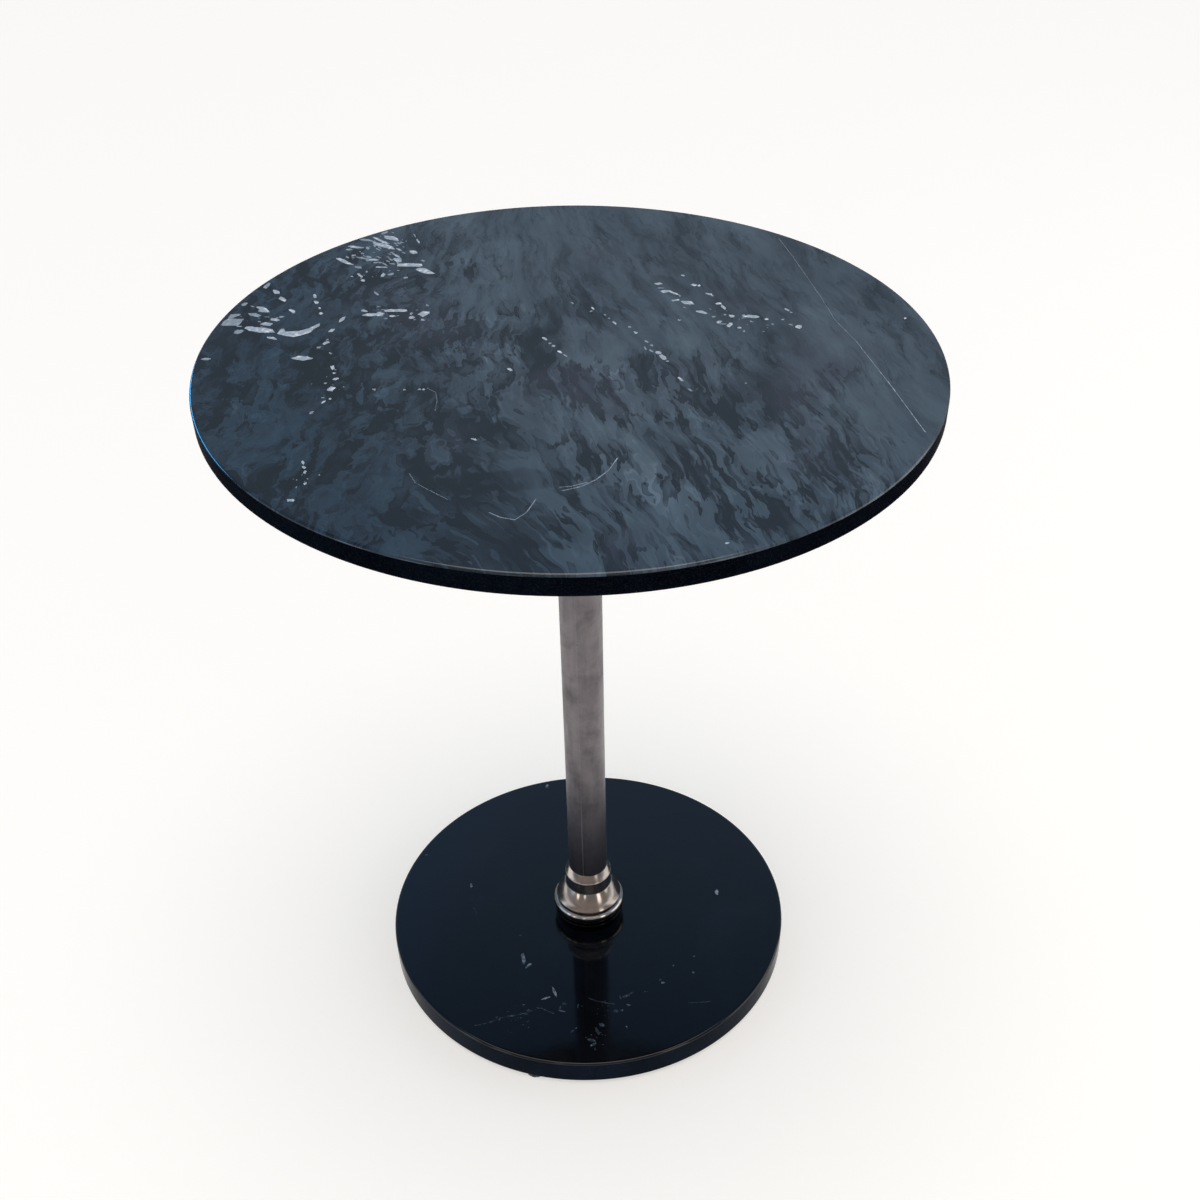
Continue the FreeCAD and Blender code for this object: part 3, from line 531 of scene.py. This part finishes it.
def nickel(name, colour, smudged, roughness, seam=None):
    """Worn polished nickel: cloudy tarnish, smudges, fine turning lines and a slightly wavy wall.

    A seam is (turn in degrees, radius in metres); a piece that has one is also painted darker and bluer
    towards its foot, a painted reflection of the black base and the blue light.
    """
    graph = Graph(name)
    patches = graph.noise(graph.warp(graph.place, 14, 0.05), 22, 6, 0.65)
    drips = graph.noise(graph.mapped(scale=(1, 1, 0.16)), 60, 5, 0.6)
    cloudy = graph.plus(graph.times(patches, 0.6), graph.times(drips, 0.4))
    worn = graph.step(cloudy, 0.40, 0.66)
    metal = graph.mix(worn, colour, smudged)
    speck = graph.step(graph.noise(graph.place, 420, 3), 0.66, 0.76, 0.0, 0.55)
    metal = graph.mix(speck, metal, tuple(0.35 * value for value in smudged))
    gloss = graph.plus(graph.times(worn, 0.09), roughness)
    gloss = graph.plus(gloss, graph.times(speck, 0.20))
    lines = graph.noise(graph.mapped(scale=(0.02, 0.02, 1)), 2600, 2)
    gloss = graph.plus(gloss, graph.times(lines, 0.05))
    waves = graph.plus(graph.noise(graph.mapped(scale=(1, 1, 0.35)), 38, 3), graph.times(lines, 0.03))
    normal = graph.bump(waves, 0.16, 0.0010)
    if seam:
        # Painted reflection: darker and bluer towards the foot, where the tube mirrors the black base and the
        # blue light.
        height = graph.along(graph.place, (0, 0, 1))
        metal = graph.mix(graph.step(height, 0.30, 0.08, 0.0, 0.6), metal, (0.070, 0.085, 0.125))
        metal, normal = with_seam(graph, metal, normal, *seam)
    return graph.finish(metal, gloss, normal, 1.0)


def with_seam(graph, metal, normal, turn, radius):
    """Adds a tube's dressed weld: a hair line up the wall, plain at the foot and rubbed away higher up."""
    turned = graph.mapped(turn=-turn)
    parts = graph.add("ShaderNodeSeparateXYZ", (0, turned))
    wobble = graph.times(graph.math("SUBTRACT", graph.noise(graph.place, 30, 2), 0.5), 0.0010)
    across = graph.math("ABSOLUTE", graph.plus(parts.outputs[1], wobble))
    facing = graph.step(parts.outputs[0], 0.0, radius * 0.4)
    kept = graph.times(facing, graph.step(parts.outputs[2], 0.24, 0.13, 0.10, 1.0))
    line = graph.times(graph.step(across, 0.0007, 0.0002), kept)
    band = graph.times(graph.step(across, 0.0045, 0.0008), kept)
    metal = graph.mix(graph.times(band, 0.22), metal, (0.05, 0.045, 0.05))
    metal = graph.mix(graph.times(line, 0.5), metal, (0.62, 0.66, 0.72))
    return metal, graph.bump(line, 0.3, 0.0003, normal)


def coated_steel(name):
    """Black powder coat with its fine orange-peel skin and a few rubbed places."""
    graph = Graph(name)
    skin = graph.noise(graph.place, 900, 3)
    wear = graph.step(graph.noise(graph.warp(graph.place, 20, 0.03), 30, 5), 0.58, 0.72, 0.0, 0.25)
    colour = graph.mix(wear, (0.014, 0.014, 0.015), (0.05, 0.05, 0.052))
    roughness = graph.plus(0.38, graph.times(skin, 0.15))
    return graph.finish(colour, roughness, graph.bump(skin, 0.35, 0.0003))


def zinc(name):
    """Zinc-plated steel: grey, faintly blotched, with turning lines."""
    graph = Graph(name)
    blotch = graph.noise(graph.place, 260, 4)
    colour = graph.mix(graph.step(blotch, 0.4, 0.65), (0.34, 0.36, 0.38), (0.56, 0.56, 0.54))
    rings = graph.noise(graph.mapped(scale=(0.1, 0.1, 1)), 3000, 2)
    roughness = graph.plus(0.25, graph.times(blotch, 0.18))
    return graph.finish(colour, roughness, graph.bump(rings, 0.25, 0.0002), 1.0)


def brass(name):
    """Machined brass, a little dulled."""
    graph = Graph(name)
    dull = graph.step(graph.noise(graph.place, 180, 4), 0.4, 0.65)
    colour = graph.mix(dull, (0.62, 0.42, 0.14), (0.36, 0.24, 0.10))
    rings = graph.noise(graph.mapped(scale=(0.1, 0.1, 1)), 2500, 2)
    return graph.finish(colour, graph.plus(0.22, graph.times(dull, 0.2)),
                        graph.bump(rings, 0.3, 0.0003), 1.0)


def rubber(name):
    """Dull black rubber with a dusty bloom."""
    graph = Graph(name)
    bloom = graph.noise(graph.place, 220, 5)
    colour = graph.mix(graph.step(bloom, 0.4, 0.7), (0.012, 0.012, 0.012), (0.030, 0.029, 0.028))
    return graph.finish(colour, graph.plus(0.6, graph.times(bloom, 0.25)),
                        graph.bump(bloom, 0.4, 0.0004))


def nylon(name):
    """Moulded black nylon: fine spark-eroded grain, scuffed paler where it meets the floor."""
    graph = Graph(name)
    grain = graph.noise(graph.place, 1500, 3)
    height = graph.add("ShaderNodeSeparateXYZ", (0, graph.place)).outputs[2]
    scuff = graph.times(graph.step(height, 0.0022, 0.0004),
                       graph.step(graph.noise(graph.place, 340, 4), 0.40, 0.62))
    colour = graph.mix(scuff, (0.014, 0.014, 0.015), (0.060, 0.058, 0.056))
    return graph.finish(colour, graph.plus(0.42, graph.times(grain, 0.2)),
                        graph.bump(grain, 0.3, 0.0002))


# ------------------------------------------------------------------ turned pieces


def rounded(corners, steps=5):
    """Rounds corners given as (radius, height, rounding) in millimetres, as points in metres.

    A point is set just outside each rounding, which keeps the flats beside it flat when shaded.
    """
    points = []
    for index, (across, up, rounding) in enumerate(corners):
        corner = Vector((across, up))
        if rounding == 0:
            points.append(corner * MM)
            continue
        before = Vector(corners[index - 1][:2]) - corner
        after = Vector(corners[(index + 1) % len(corners)][:2]) - corner
        half = before.angle(after) / 2
        cut = rounding / math.tan(half)
        centre = corner + (before.normalized() + after.normalized()).normalized() * rounding / math.sin(half)
        first = corner + before.normalized() * cut
        last = corner + after.normalized() * cut
        hold = min(0.35 * rounding, 0.5 * (before.length - cut))
        points.append((first + before.normalized() * hold) * MM)
        sweep = (first - centre).angle_signed(last - centre)
        for step in range(steps + 1):
            arm = (first - centre).copy()
            arm.rotate(Matrix.Rotation(-sweep * step / steps, 2))
            points.append((centre + arm) * MM)
        hold = min(0.35 * rounding, 0.5 * (after.length - cut))
        points.append((last + after.normalized() * hold) * MM)
    return points


def lathe(name, outline, segments=192, closed=True):
    """A mesh turned about the Z axis from (radius, height) points in metres.

    A closed outline makes a ring. An open one starts and ends on the axis.
    """
    mesh = bpy.data.meshes.new(name)
    work = bmesh.new()
    rings = []
    for across, up in outline:
        if across < 1e-7:
            rings.append([work.verts.new((0, 0, up))])
            continue
        ring = []
        for segment in range(segments):
            angle = 2 * math.pi * segment / segments
            ring.append(work.verts.new((across * math.cos(angle), across * math.sin(angle), up)))
        rings.append(ring)
    pairs = list(zip(rings, rings[1:]))
    if closed:
        pairs.append((rings[-1], rings[0]))
    for lower, upper in pairs:
        for segment in range(segments):
            ahead = (segment + 1) % segments
            loop = [lower[segment % len(lower)], lower[ahead % len(lower)],
                    upper[ahead % len(upper)], upper[segment % len(upper)]]
            corners = list(dict.fromkeys(loop))
            if len(corners) > 2:
                work.faces.new(corners)
    bmesh.ops.recalc_face_normals(work, faces=work.faces)
    work.to_mesh(mesh)
    work.free()
    mesh.polygons.foreach_set("use_smooth", [True] * len(mesh.polygons))
    piece = bpy.data.objects.new(name, mesh)
    bpy.context.scene.collection.objects.link(piece)
    return piece


def drill(piece, cutters):
    """Cuts some closed meshes out of a piece and removes them."""
    for cutter in cutters:
        cut = piece.modifiers.new("hole", "BOOLEAN")
        cut.operation = "DIFFERENCE"
        cut.solver = "EXACT"
        cut.object = cutter
    bpy.context.view_layer.update()
    solid = bpy.data.meshes.new_from_object(piece.evaluated_get(bpy.context.evaluated_depsgraph_get()))
    piece.modifiers.clear()
    piece.data = solid
    for cutter in cutters:
        bpy.data.objects.remove(cutter)
    sharpen(piece, 35)


def sharpen(piece, degrees):
    """Marks the edges that turn by more than some degrees as sharp."""
    piece.data.set_sharp_from_angle(angle=math.radians(degrees))


def give(piece, materials):
    """Gives a piece its materials, unless it has them already."""
    if not len(piece.data.materials):
        for material in materials:
            piece.data.materials.append(material)


def settle(piece, body, slot, materials, *nodes):
    """Gives a piece its materials and its body, and hides the CAD nodes it stands for; the slot is not used.
    """
    give(piece, materials)
    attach(piece, body)
    if nodes:
        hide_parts(*nodes)
    return piece


def hole_cutter(name, centre, radius, low, high):
    """A round cutter at a centre in metres; its radius and heights are in millimetres."""
    outline = [(0, low * MM), (radius * MM, low * MM), (radius * MM, high * MM), (0, high * MM)]
    cutter = lathe(name, outline, 48, closed=False)
    cutter.data.transform(Matrix.Translation((*centre, 0)))
    return cutter


def join(name, pieces):
    """Makes one piece of several."""
    work = bmesh.new()
    for piece in pieces:
        work.from_mesh(piece.data)
    mesh = bpy.data.meshes.new(name)
    work.to_mesh(mesh)
    work.free()
    for piece in pieces:
        bpy.data.objects.remove(piece)
    joined = bpy.data.objects.new(name, mesh)
    bpy.context.scene.collection.objects.link(joined)
    return joined


def arc_points(start, end, radius, steps):
    """Points between start and end on an arc that bulges to the right of the way between them."""
    start, end = Vector(start), Vector(end)
    half = (end - start) / 2
    outward = Vector((half.y, -half.x)).normalized()
    centre = start + half - outward * math.sqrt(radius ** 2 - half.length_squared)
    sweep = (start - centre).angle_signed(end - centre)
    points = []
    for step in range(1, steps):
        arm = (start - centre).copy()
        arm.rotate(Matrix.Rotation(-sweep * step / steps, 2))
        points.append((*(centre + arm), 0))
    return points


# ------------------------------------------------------------------ the table's pieces

# Sizes in millimetres that the frame's boxes don't give.
ARRIS = 3.0
RIM = 1.6 * ARRIS
BUSH_RADIUS, BUSH_HOLE = 5, 5.05
SCREW_HEAD_RADIUS, SCREW_RADIUS = 6, 3
TUBE_WALL = 1.6
RING_PLAY = 0.1

SLAB_SEGMENTS = 360
SCREWS = 4
GLIDES = ("1", "2", "3")


def span(node):
    """A node's lowest height, highest height and outer radius, in millimetres."""
    low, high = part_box(node)
    return low.z / MM, high.z / MM, max(high.x, high.y) / MM


def middle(node):
    """A node's middle in plan, in metres."""
    low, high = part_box(node)
    return (low.x + high.x) / 2, (low.y + high.y) / 2


def screw_places(circle):
    """Where the plate's screws stand in plan, on a circle whose radius is in metres."""
    angles = [2 * math.pi * index / SCREWS for index in range(SCREWS)]
    return [(circle * math.cos(angle), circle * math.sin(angle)) for angle in angles]


def paint_edge(piece, radius, high):
    """Gives a slab's wall and its honed underside their own materials."""
    for face in piece.data.polygons:
        if face.material_index:
            continue
        centre = face.center
        outer = math.hypot(centre.x, centre.y) > (radius - 1.2 * ARRIS) * MM
        if outer and centre.z < (high - 0.8 * ARRIS) * MM:
            face.material_index = WALL
        elif not outer and centre.z < (high - ARRIS) * MM:
            face.material_index = HONED


def make_top(materials):
    """The top slab, with the chips in its face and its holes for the inserts."""
    low, high, radius = span("marble_top")
    corners = [(0, low, 0), (radius / 2, low, 0), (radius, low, ARRIS), (radius, high, ARRIS), (0, high, 0)]
    slab = lathe("top_slab", rounded(corners, 7)[:-1], SLAB_SEGMENTS, closed=False)
    chips = all_chips(5, TOP_WHITE, TOP_GREY, TOP_SPRAYS, TOP_LINES, TOP_SPLASH)
    inlay(slab, slice(-SLAB_SEGMENTS, None), radius - RIM, chips)
    give(slab, materials)
    insert_low, insert_high, reach = span("top_inserts")
    holes = []
    for index, centre in enumerate(screw_places((reach - BUSH_RADIUS) * MM)):
        holes.append(hole_cutter(f"hole_{index}", centre, BUSH_HOLE, insert_low - 1, insert_high + 1))
    drill(slab, holes)
    paint_edge(slab, radius, high)
    return settle(slab, "table", "top_stone", materials, "marble_top")


def make_base(materials):
    """The base slab, with its chips, its recess, the tie rod's hole and the glides' holes."""
    low, high, radius = span("marble_base")
    recess, rod_hole = 30, 5.5
    ceiling = low + 18
    corners = [(rod_hole, high, 0.5), (rod_hole, ceiling, 0), (recess, ceiling, 0), (recess, low, 0.6),
               (radius, low, ARRIS), (radius, high, ARRIS)]
    slab = lathe("base_slab", rounded(corners, 7), SLAB_SEGMENTS, closed=False)
    chips = all_chips(11, BASE_WHITE, BASE_GREY, BASE_SPRAYS, BASE_LINES)
    inlay(slab, slice(-SLAB_SEGMENTS, None), radius - RIM, chips, slice(0, SLAB_SEGMENTS))
    give(slab, materials)
    hex_recess, hex_depth, bush_depth = 7.5, 4, 21
    holes = []
    for number in GLIDES:
        centre = middle(f"glide_pad_{number}")
        holes.append(hole_cutter(f"recess_{number}", centre, hex_recess, low - 1, low + hex_depth))
        holes.append(hole_cutter(f"bush_{number}", centre, BUSH_HOLE, low + hex_depth - 1, low + bush_depth))
    drill(slab, holes)
    paint_edge(slab, radius, high)
    return settle(slab, "table", "base_stone", materials, "marble_base")


def make_tube(metal):
    """The column's tube."""
    low, high, radius = span("column_tube")
    bore = radius - TUBE_WALL
    outline = [(bore, low, 0.3), (radius, low, 0.4), (radius, high, 0.4), (bore, high, 0.3)]
    tube = lathe("tube_wall", rounded(outline, 3), 160)
    sharpen(tube, 50)
    return settle(tube, "table", "tube_nickel", [metal], "column_tube")


def make_collar(metal, dark):
    """The turned rings at the foot of the column, each with the soft edges of polished work."""
    foot = span("marble_base")[1]
    bore = span("column_tube")[2] + RING_PLAY
    dome = [(bore, 26, 0.2), (32, 26, 0.3), (32, 28.5, 0), (36.6, 28.5, 0.5), (36.6, 30, 0.5)]
    dome += arc_points((36, 30.6), (26.6, 49.5), 120, 8) + [(26.6, 49.5, 0.5), (bore, 49.5, 0.2)]
    cup = [(bore, 62.5, 0.2), (25.4, 62.5, 0.3)] + arc_points((25.4, 62.5), (25.4, 66.5), 3.6, 7)
    cup += [(25.4, 66.5, 0.3), (25.3, 66.5, 0)] + arc_points((25.3, 66.5), (21.4, 75), 200, 6)
    cup += [(21.4, 75, 0.1), (bore, 75, 0.1)]
    shapes = {
        "collar_cup": cup,
        "collar_neck": [(bore, 49.5, 0.2), (26.2, 49.5, 0.2), (24.9, 62.5, 0.2), (bore, 62.5, 0.2)],
        "collar_dome": dome,
        "collar_bead": [(bore, 17, 0.2), (40.2, 17, 4.2), (40.2, 26, 4.2), (bore, 26, 0.2)],
        "collar_plinth": [(31.6, 0, 0.3), (38.4, 0, 0.5), (38.4, 9, 0.8), (37.6, 9, 0.3), (37.6, 14, 0.8),
                          (36.8, 14, 0.3), (36.8, 17, 0.5), (bore, 17, 0.2), (bore, 4.4, 0), (31.6, 4.4, 0)],
    }
    for node, corners in shapes.items():
        raised = [(across, up + foot, rounding) for across, up, rounding in corners]
        ring = lathe(node + "_ring", rounded(raised, 6), 160)
        sharpen(ring, 50)
        settle(ring, "table", "polished_nickel", [dark if node == "collar_plinth" else metal], node)


def make_socket(metal):
    """The sleeve that holds the tube under the mounting plate."""
    low, high, radius = span("top_socket")
    bore = span("column_tube")[2] + RING_PLAY
    corners = [(bore, low, 0.3), (24, low, 1.0), (24, high - 9, 1.5), (27, high - 9, 0.8),
               (radius, high - 3, 1.5), (radius, high, 0.4), (bore, high, 0.2)]
    socket = lathe("socket_sleeve", rounded(corners, 5), 160)
    sharpen(socket, 50)
    settle(socket, "table", "polished_nickel", [metal], "top_socket")


def make_screws(metal):
    """The plate's countersunk screws, with hexagon sockets in their heads."""
    low, high, reach = span("top_screws")
    key_radius, key_depth = 2.3, 2
    corners = [(0, low, 0), (SCREW_HEAD_RADIUS, low, 0.3), (SCREW_HEAD_RADIUS, low + 1, 0.2),
               (SCREW_RADIUS, low + 3, 0.3), (SCREW_RADIUS, high, 0.5), (0, high, 0)]
    key = [Vector(corner) * MM for corner in ((0, low - 1), (key_radius, low - 1),
                                              (key_radius, low + key_depth), (0, low + key_depth))]
    screws = []
    for index, centre in enumerate(screw_places((reach - SCREW_HEAD_RADIUS) * MM)):
        screw = lathe(f"screw_{index}", rounded(corners, 3), 64, closed=False)
        drill(screw, [lathe(f"key_{index}", key, 6, closed=False)])
        screw.data.transform(Matrix.Translation((*centre, 0)))
        screws.append(screw)
    screws = join("plate_screws", screws)
    sharpen(screws, 40)
    settle(screws, "table", "zinc_steel", [metal], "top_screws")


def make_plate(metal):
    """The mounting plate, with a softened rim and its countersunk holes."""
    low, high, radius = span("top_plate")
    circle = (span("top_screws")[2] - SCREW_HEAD_RADIUS) * MM
    corners = [(0, low, 0), (radius, low, 1.0), (radius, high, 0.4), (0, high, 0)]
    plate = lathe("mounting_plate", rounded(corners, 5), 256, closed=False)
    holes = []
    for index, centre in enumerate(screw_places(circle)):
        holes.append(hole_cutter(f"sink_{index}", centre, SCREW_HEAD_RADIUS + 0.05, low - 1, low + 3))
        holes.append(hole_cutter(f"shank_{index}", centre, SCREW_RADIUS + 0.4, low + 2, high + 1))
    drill(plate, holes)
    settle(plate, "table", "black_steel", [metal], "top_plate")


def make_cap(plastic):
    """The recess cap: a moulded disc with a raised rim and a slot to lift it out by."""
    low, high, radius = span("recess_cap")
    corners = [(0, low + 0.5, 0), (radius - 4, low + 0.5, 0.3), (radius - 3.4, low, 0.3),
               (radius, low, 0.4), (radius, high, 0.2), (0, high, 0)]
    cap = lathe("recess_cover", rounded(corners, 4), 128, closed=False)
    slot = hole_cutter("slot", (0, -(radius - 1) * MM), 2.4, low - 1, low + 1.2)
    drill(cap, [slot])
    settle(cap, "table", "black_plastic", [plastic], "recess_cap")


def make_pad(number, plastic):
    """A glide's moulded pad, with finger notches round its rim."""
    node = f"glide_pad_{number}"
    low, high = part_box(node)
    radius = (high.x - low.x) / 2 / MM
    top = high.z / MM
    bore, floor = 3.05, top - 2.6
    corners = [(0, 0, 0), (radius, 0, 0.9), (radius, top, 0.5), (bore, top, 0.15), (bore, floor, 0),
               (0, floor, 0)]
    pad = lathe(f"pad_{number}", rounded(corners, 5), 144, closed=False)
    notches, notch_depth = 12, 0.045
    for vertex in pad.data.vertices:
        away = math.hypot(vertex.co.x, vertex.co.y)
        if away > 0.8 * radius * MM:
            angle = math.atan2(vertex.co.y, vertex.co.x)
            shrink = 1 - notch_depth * max(0.0, math.cos(notches * angle)) ** 4
            vertex.co.x *= shrink
            vertex.co.y *= shrink
    pad.data.transform(Matrix.Translation((*middle(node), 0)))
    sharpen(pad, 50)
    settle(pad, f"glide_foot_{number}", "black_plastic", [plastic], node)


def dress(material, *nodes):
    """Gives CAD nodes that keep their shape a better material."""
    for node in nodes:
        for slot in NODES[node].material_slots:
            slot.material = material


def make_table():
    """All the pieces, from the top down; returns the top slab."""
    slab = make_top([
        top_stone("top_polished"),
        # The top's side: near-black colours, far darker than the face's stone, are painted shade standing in
        # for dark reflections; its blue specular tint paints a blue reflection.
        wall_stone("top_wall", (0.0006, 0.0014, 0.0034), (0.0016, 0.0032, 0.0070), 0.008, (0.45, 0.65, 1.0)),
        vein_stone("top_white", (0.96, 0.98, 1.00), (0.42, 0.48, 0.53), 190, 0.05),
        vein_stone("top_grey", (0.58, 0.64, 0.68), (0.30, 0.35, 0.39), 220, 0.02),
        wall_stone("top_honed", (0.030, 0.034, 0.040), (0.075, 0.083, 0.092), 0.35, matt=1.0)])
    make_base([
        base_stone("base_polished"),
        # The base's side: lighter and bluer than the base's face, partly the stone's own dark tone and partly
        # a painted bluish sheen; its blue specular tint paints a blue reflection.
        wall_stone("base_wall", (0.0024, 0.0050, 0.0110), (0.0050, 0.0098, 0.0200), 0.015, (0.4, 0.65, 1.0)),
        vein_stone("base_white", (0.46, 0.52, 0.56), (0.10, 0.13, 0.16), 200, 0.06),
        vein_stone("base_grey", (0.25, 0.32, 0.38), (0.030, 0.041, 0.053), 200, 0.0),
        wall_stone("base_honed", (0.010, 0.011, 0.013), (0.030, 0.032, 0.036), 0.35, matt=1.0)])
    tube_colour = (0.250, 0.228, 0.238)
    tube_smudge = (0.135, 0.122, 0.132)
    make_tube(nickel("tube_worn_with_painted_foot", tube_colour, tube_smudge, 0.34, seam=(-105, 0.0212)))
    ring_metal = nickel("ring_polished", (0.66, 0.61, 0.57), (0.42, 0.38, 0.35), 0.10)
    make_collar(ring_metal, nickel("plinth_black", (0.016, 0.016, 0.018), (0.010, 0.010, 0.012), 0.12))
    make_socket(ring_metal)
    make_plate(coated_steel("powder_coat"))
    plated = zinc("zinc_plated")
    make_screws(plated)
    moulded = nylon("moulded_nylon")
    make_cap(moulded)
    for number in GLIDES:
        make_pad(number, moulded)
        dress(plated, f"glide_stem_{number}")
    dress(plated, "rod_anchor", "tie_rod", "tube_foot_plug")
    dress(plated, "base_clamp_plate", "base_spring_washer", "base_nut")
    dress(brass("turned_brass"), "top_inserts", "glide_inserts")
    dress(rubber("seal_rubber"), "top_gasket", "foot_seal")
    return slab


# ------------------------------------------------------------------ floor, light and camera

PALE = (0.985, 0.955, 0.905)


def make_floor():
    """A plain pale floor, partly self-lit; in mirrors it is darker far off, as in a room."""
    graph = Graph("pale_floor")
    path = graph.add("ShaderNodeLightPath").outputs["Is Glossy Ray"]
    far = graph.step(graph.vector("LENGTH", graph.place), 0.75, 1.05)
    glow = graph.step(graph.times(far, path), 0.0, 1.0, 0.55, 0.02)
    dusty = graph.noise(graph.place, 2.5, 3)
    paint = tuple(0.60 * value for value in PALE)
    colour = graph.mix(graph.times(dusty, 0.02), paint, (0.5, 0.5, 0.5))
    colour = graph.mix(graph.times(far, path), colour, (0.10, 0.10, 0.11))
    graph.finish(colour, 0.9, Specular_IOR_Level=0.0, Emission_Color=(*PALE, 1), Emission_Strength=glow)
    bpy.ops.mesh.primitive_circle_add(vertices=96, radius=14, fill_type="NGON", location=(0, 0, 0))
    floor = bpy.context.object
    floor.name = "floor"
    floor.data.materials.append(graph.material)


def make_world():
    """A bright soft ceiling over a dim bluish surround; the camera sees a pale backdrop instead."""
    world = bpy.data.worlds.new("studio")
    bpy.context.scene.world = world
    graph = Graph("studio", world)
    parts = graph.add("ShaderNodeSeparateXYZ", (0, graph.heading)).outputs
    by_height = graph.ramp(parts[2], [
        (0.0, (0.22, 0.21, 0.21)), (0.32, (0.14, 0.17, 0.21)), (0.50, (0.24, 0.30, 0.36)),
        (0.68, (0.25, 0.38, 0.58)), (0.82, (0.10, 0.17, 0.29)), (0.87, (0.14, 0.20, 0.30)),
        (0.96, (3.1, 3.12, 3.15))])
    front = graph.add("ShaderNodeMapRange", ("Value", parts[1]), ("From Min", 0.0), ("From Max", -0.4))
    warm = graph.mix(front.outputs[0], by_height, (1.12, 0.94, 0.82), "MULTIPLY")
    surround = graph.add("ShaderNodeBackground", (0, warm)).outputs[0]
    backdrop = graph.add("ShaderNodeBackground", (0, PALE)).outputs[0]
    seen = graph.add("ShaderNodeLightPath").outputs["Is Camera Ray"]
    both = graph.add("ShaderNodeMixShader", (0, seen), (1, surround), (2, backdrop)).outputs[0]
    graph.add("ShaderNodeOutputWorld", (0, both))


def make_panel(name, place, aim, width, height, strength, colour, only=None):
    """A soft rectangular light that the camera doesn't see."""
    data = bpy.data.lights.new(name, "AREA")
    data.shape = "RECTANGLE"
    data.size = width
    data.size_y = height
    data.energy = strength * width * height * math.pi
    data.color = colour
    lamp = bpy.data.objects.new(name, data)
    bpy.context.scene.collection.objects.link(lamp)
    lamp.location = place
    lamp.rotation_euler = (Vector(aim) - Vector(place)).to_track_quat("-Z", "Y").to_euler()
    lamp.visible_camera = False
    if only:
        lamp.light_linking.receiver_collection = bpy.data.collections.new(name + "_on")
        lamp.light_linking.receiver_collection.objects.link(only)


def make_lights(slab):
    """Soft panels round the front half of the table; the polished stone faces away from all of them."""
    make_panel("back_left_blue", (-2.5, 1.75, 0.92), (0, 0, 0.7), 2.0, 0.4, 12.0, (0.02, 0.42, 1.0),
               only=slab)
    make_panel("left_cool", (-3.0, -0.5, 1.0), (0, 0, 0.2), 1.8, 1.5, 0.75, (0.68, 0.84, 1.0))
    make_panel("left_window", (-2.7, -1.5, 1.1), (0, 0, 0.2), 0.5, 1.0, 2.2, (0.80, 0.90, 1.0))
    make_panel("right_wide", (3.1, 0.1, 1.1), (0, 0, 0.2), 2.6, 1.8, 1.35, (1.0, 0.95, 0.88))
    make_panel("right_window", (2.2, -2.7, 1.1), (0, 0, 0.2), 0.8, 1.8, 1.9, (1.0, 0.94, 0.86))
    make_panel("front_left_lamp", (-2.3, -2.4, 0.85), (0, 0, 0.2), 0.5, 0.6, 3.2, (1.0, 0.92, 0.82))
    make_panel("front_lamp", (-0.95, -3.2, 1.0), (0, 0, 0.2), 0.35, 0.35, 3.2, (1.0, 0.92, 0.82))
    make_panel("front_soft", (0.2, -3.4, 2.6), (0, 0, 0.4), 2.6, 1.1, 0.45, (1.0, 0.93, 0.86))


CAMERA_PLACE = (0.0, -1.1983, 1.3530)
CAMERA_PITCH = math.radians(43.30)
CAMERA_YAW = math.radians(3.822)
CAMERA_ROLL = math.radians(-0.98)


def make_camera():
    """A camera in front of the table and above it, looking down, as a person standing by it would."""
    data = bpy.data.cameras.new("camera")
    data.sensor_width = 36
    data.lens = 45.51
    data.shift_x = -0.0496
    data.shift_y = 0.1573
    camera = bpy.data.objects.new("camera", data)
    bpy.context.scene.collection.objects.link(camera)
    ahead = Vector((math.sin(CAMERA_YAW) * math.cos(CAMERA_PITCH),
                    math.cos(CAMERA_YAW) * math.cos(CAMERA_PITCH), -math.sin(CAMERA_PITCH)))
    level_right = Vector((math.cos(CAMERA_YAW), -math.sin(CAMERA_YAW), 0))
    level_down = ahead.cross(level_right)
    right = level_right * math.cos(CAMERA_ROLL) + level_down * math.sin(CAMERA_ROLL)
    down = level_down * math.cos(CAMERA_ROLL) - level_right * math.sin(CAMERA_ROLL)
    turn = Matrix((right, -down, -ahead)).transposed()
    camera.matrix_world = Matrix.Translation(CAMERA_PLACE) @ turn.to_4x4()
    bpy.context.scene.camera = camera


top_slab = make_table()
make_floor()
make_world()
make_lights(top_slab)
make_camera()
bpy.context.scene.view_settings.view_transform = "Standard"
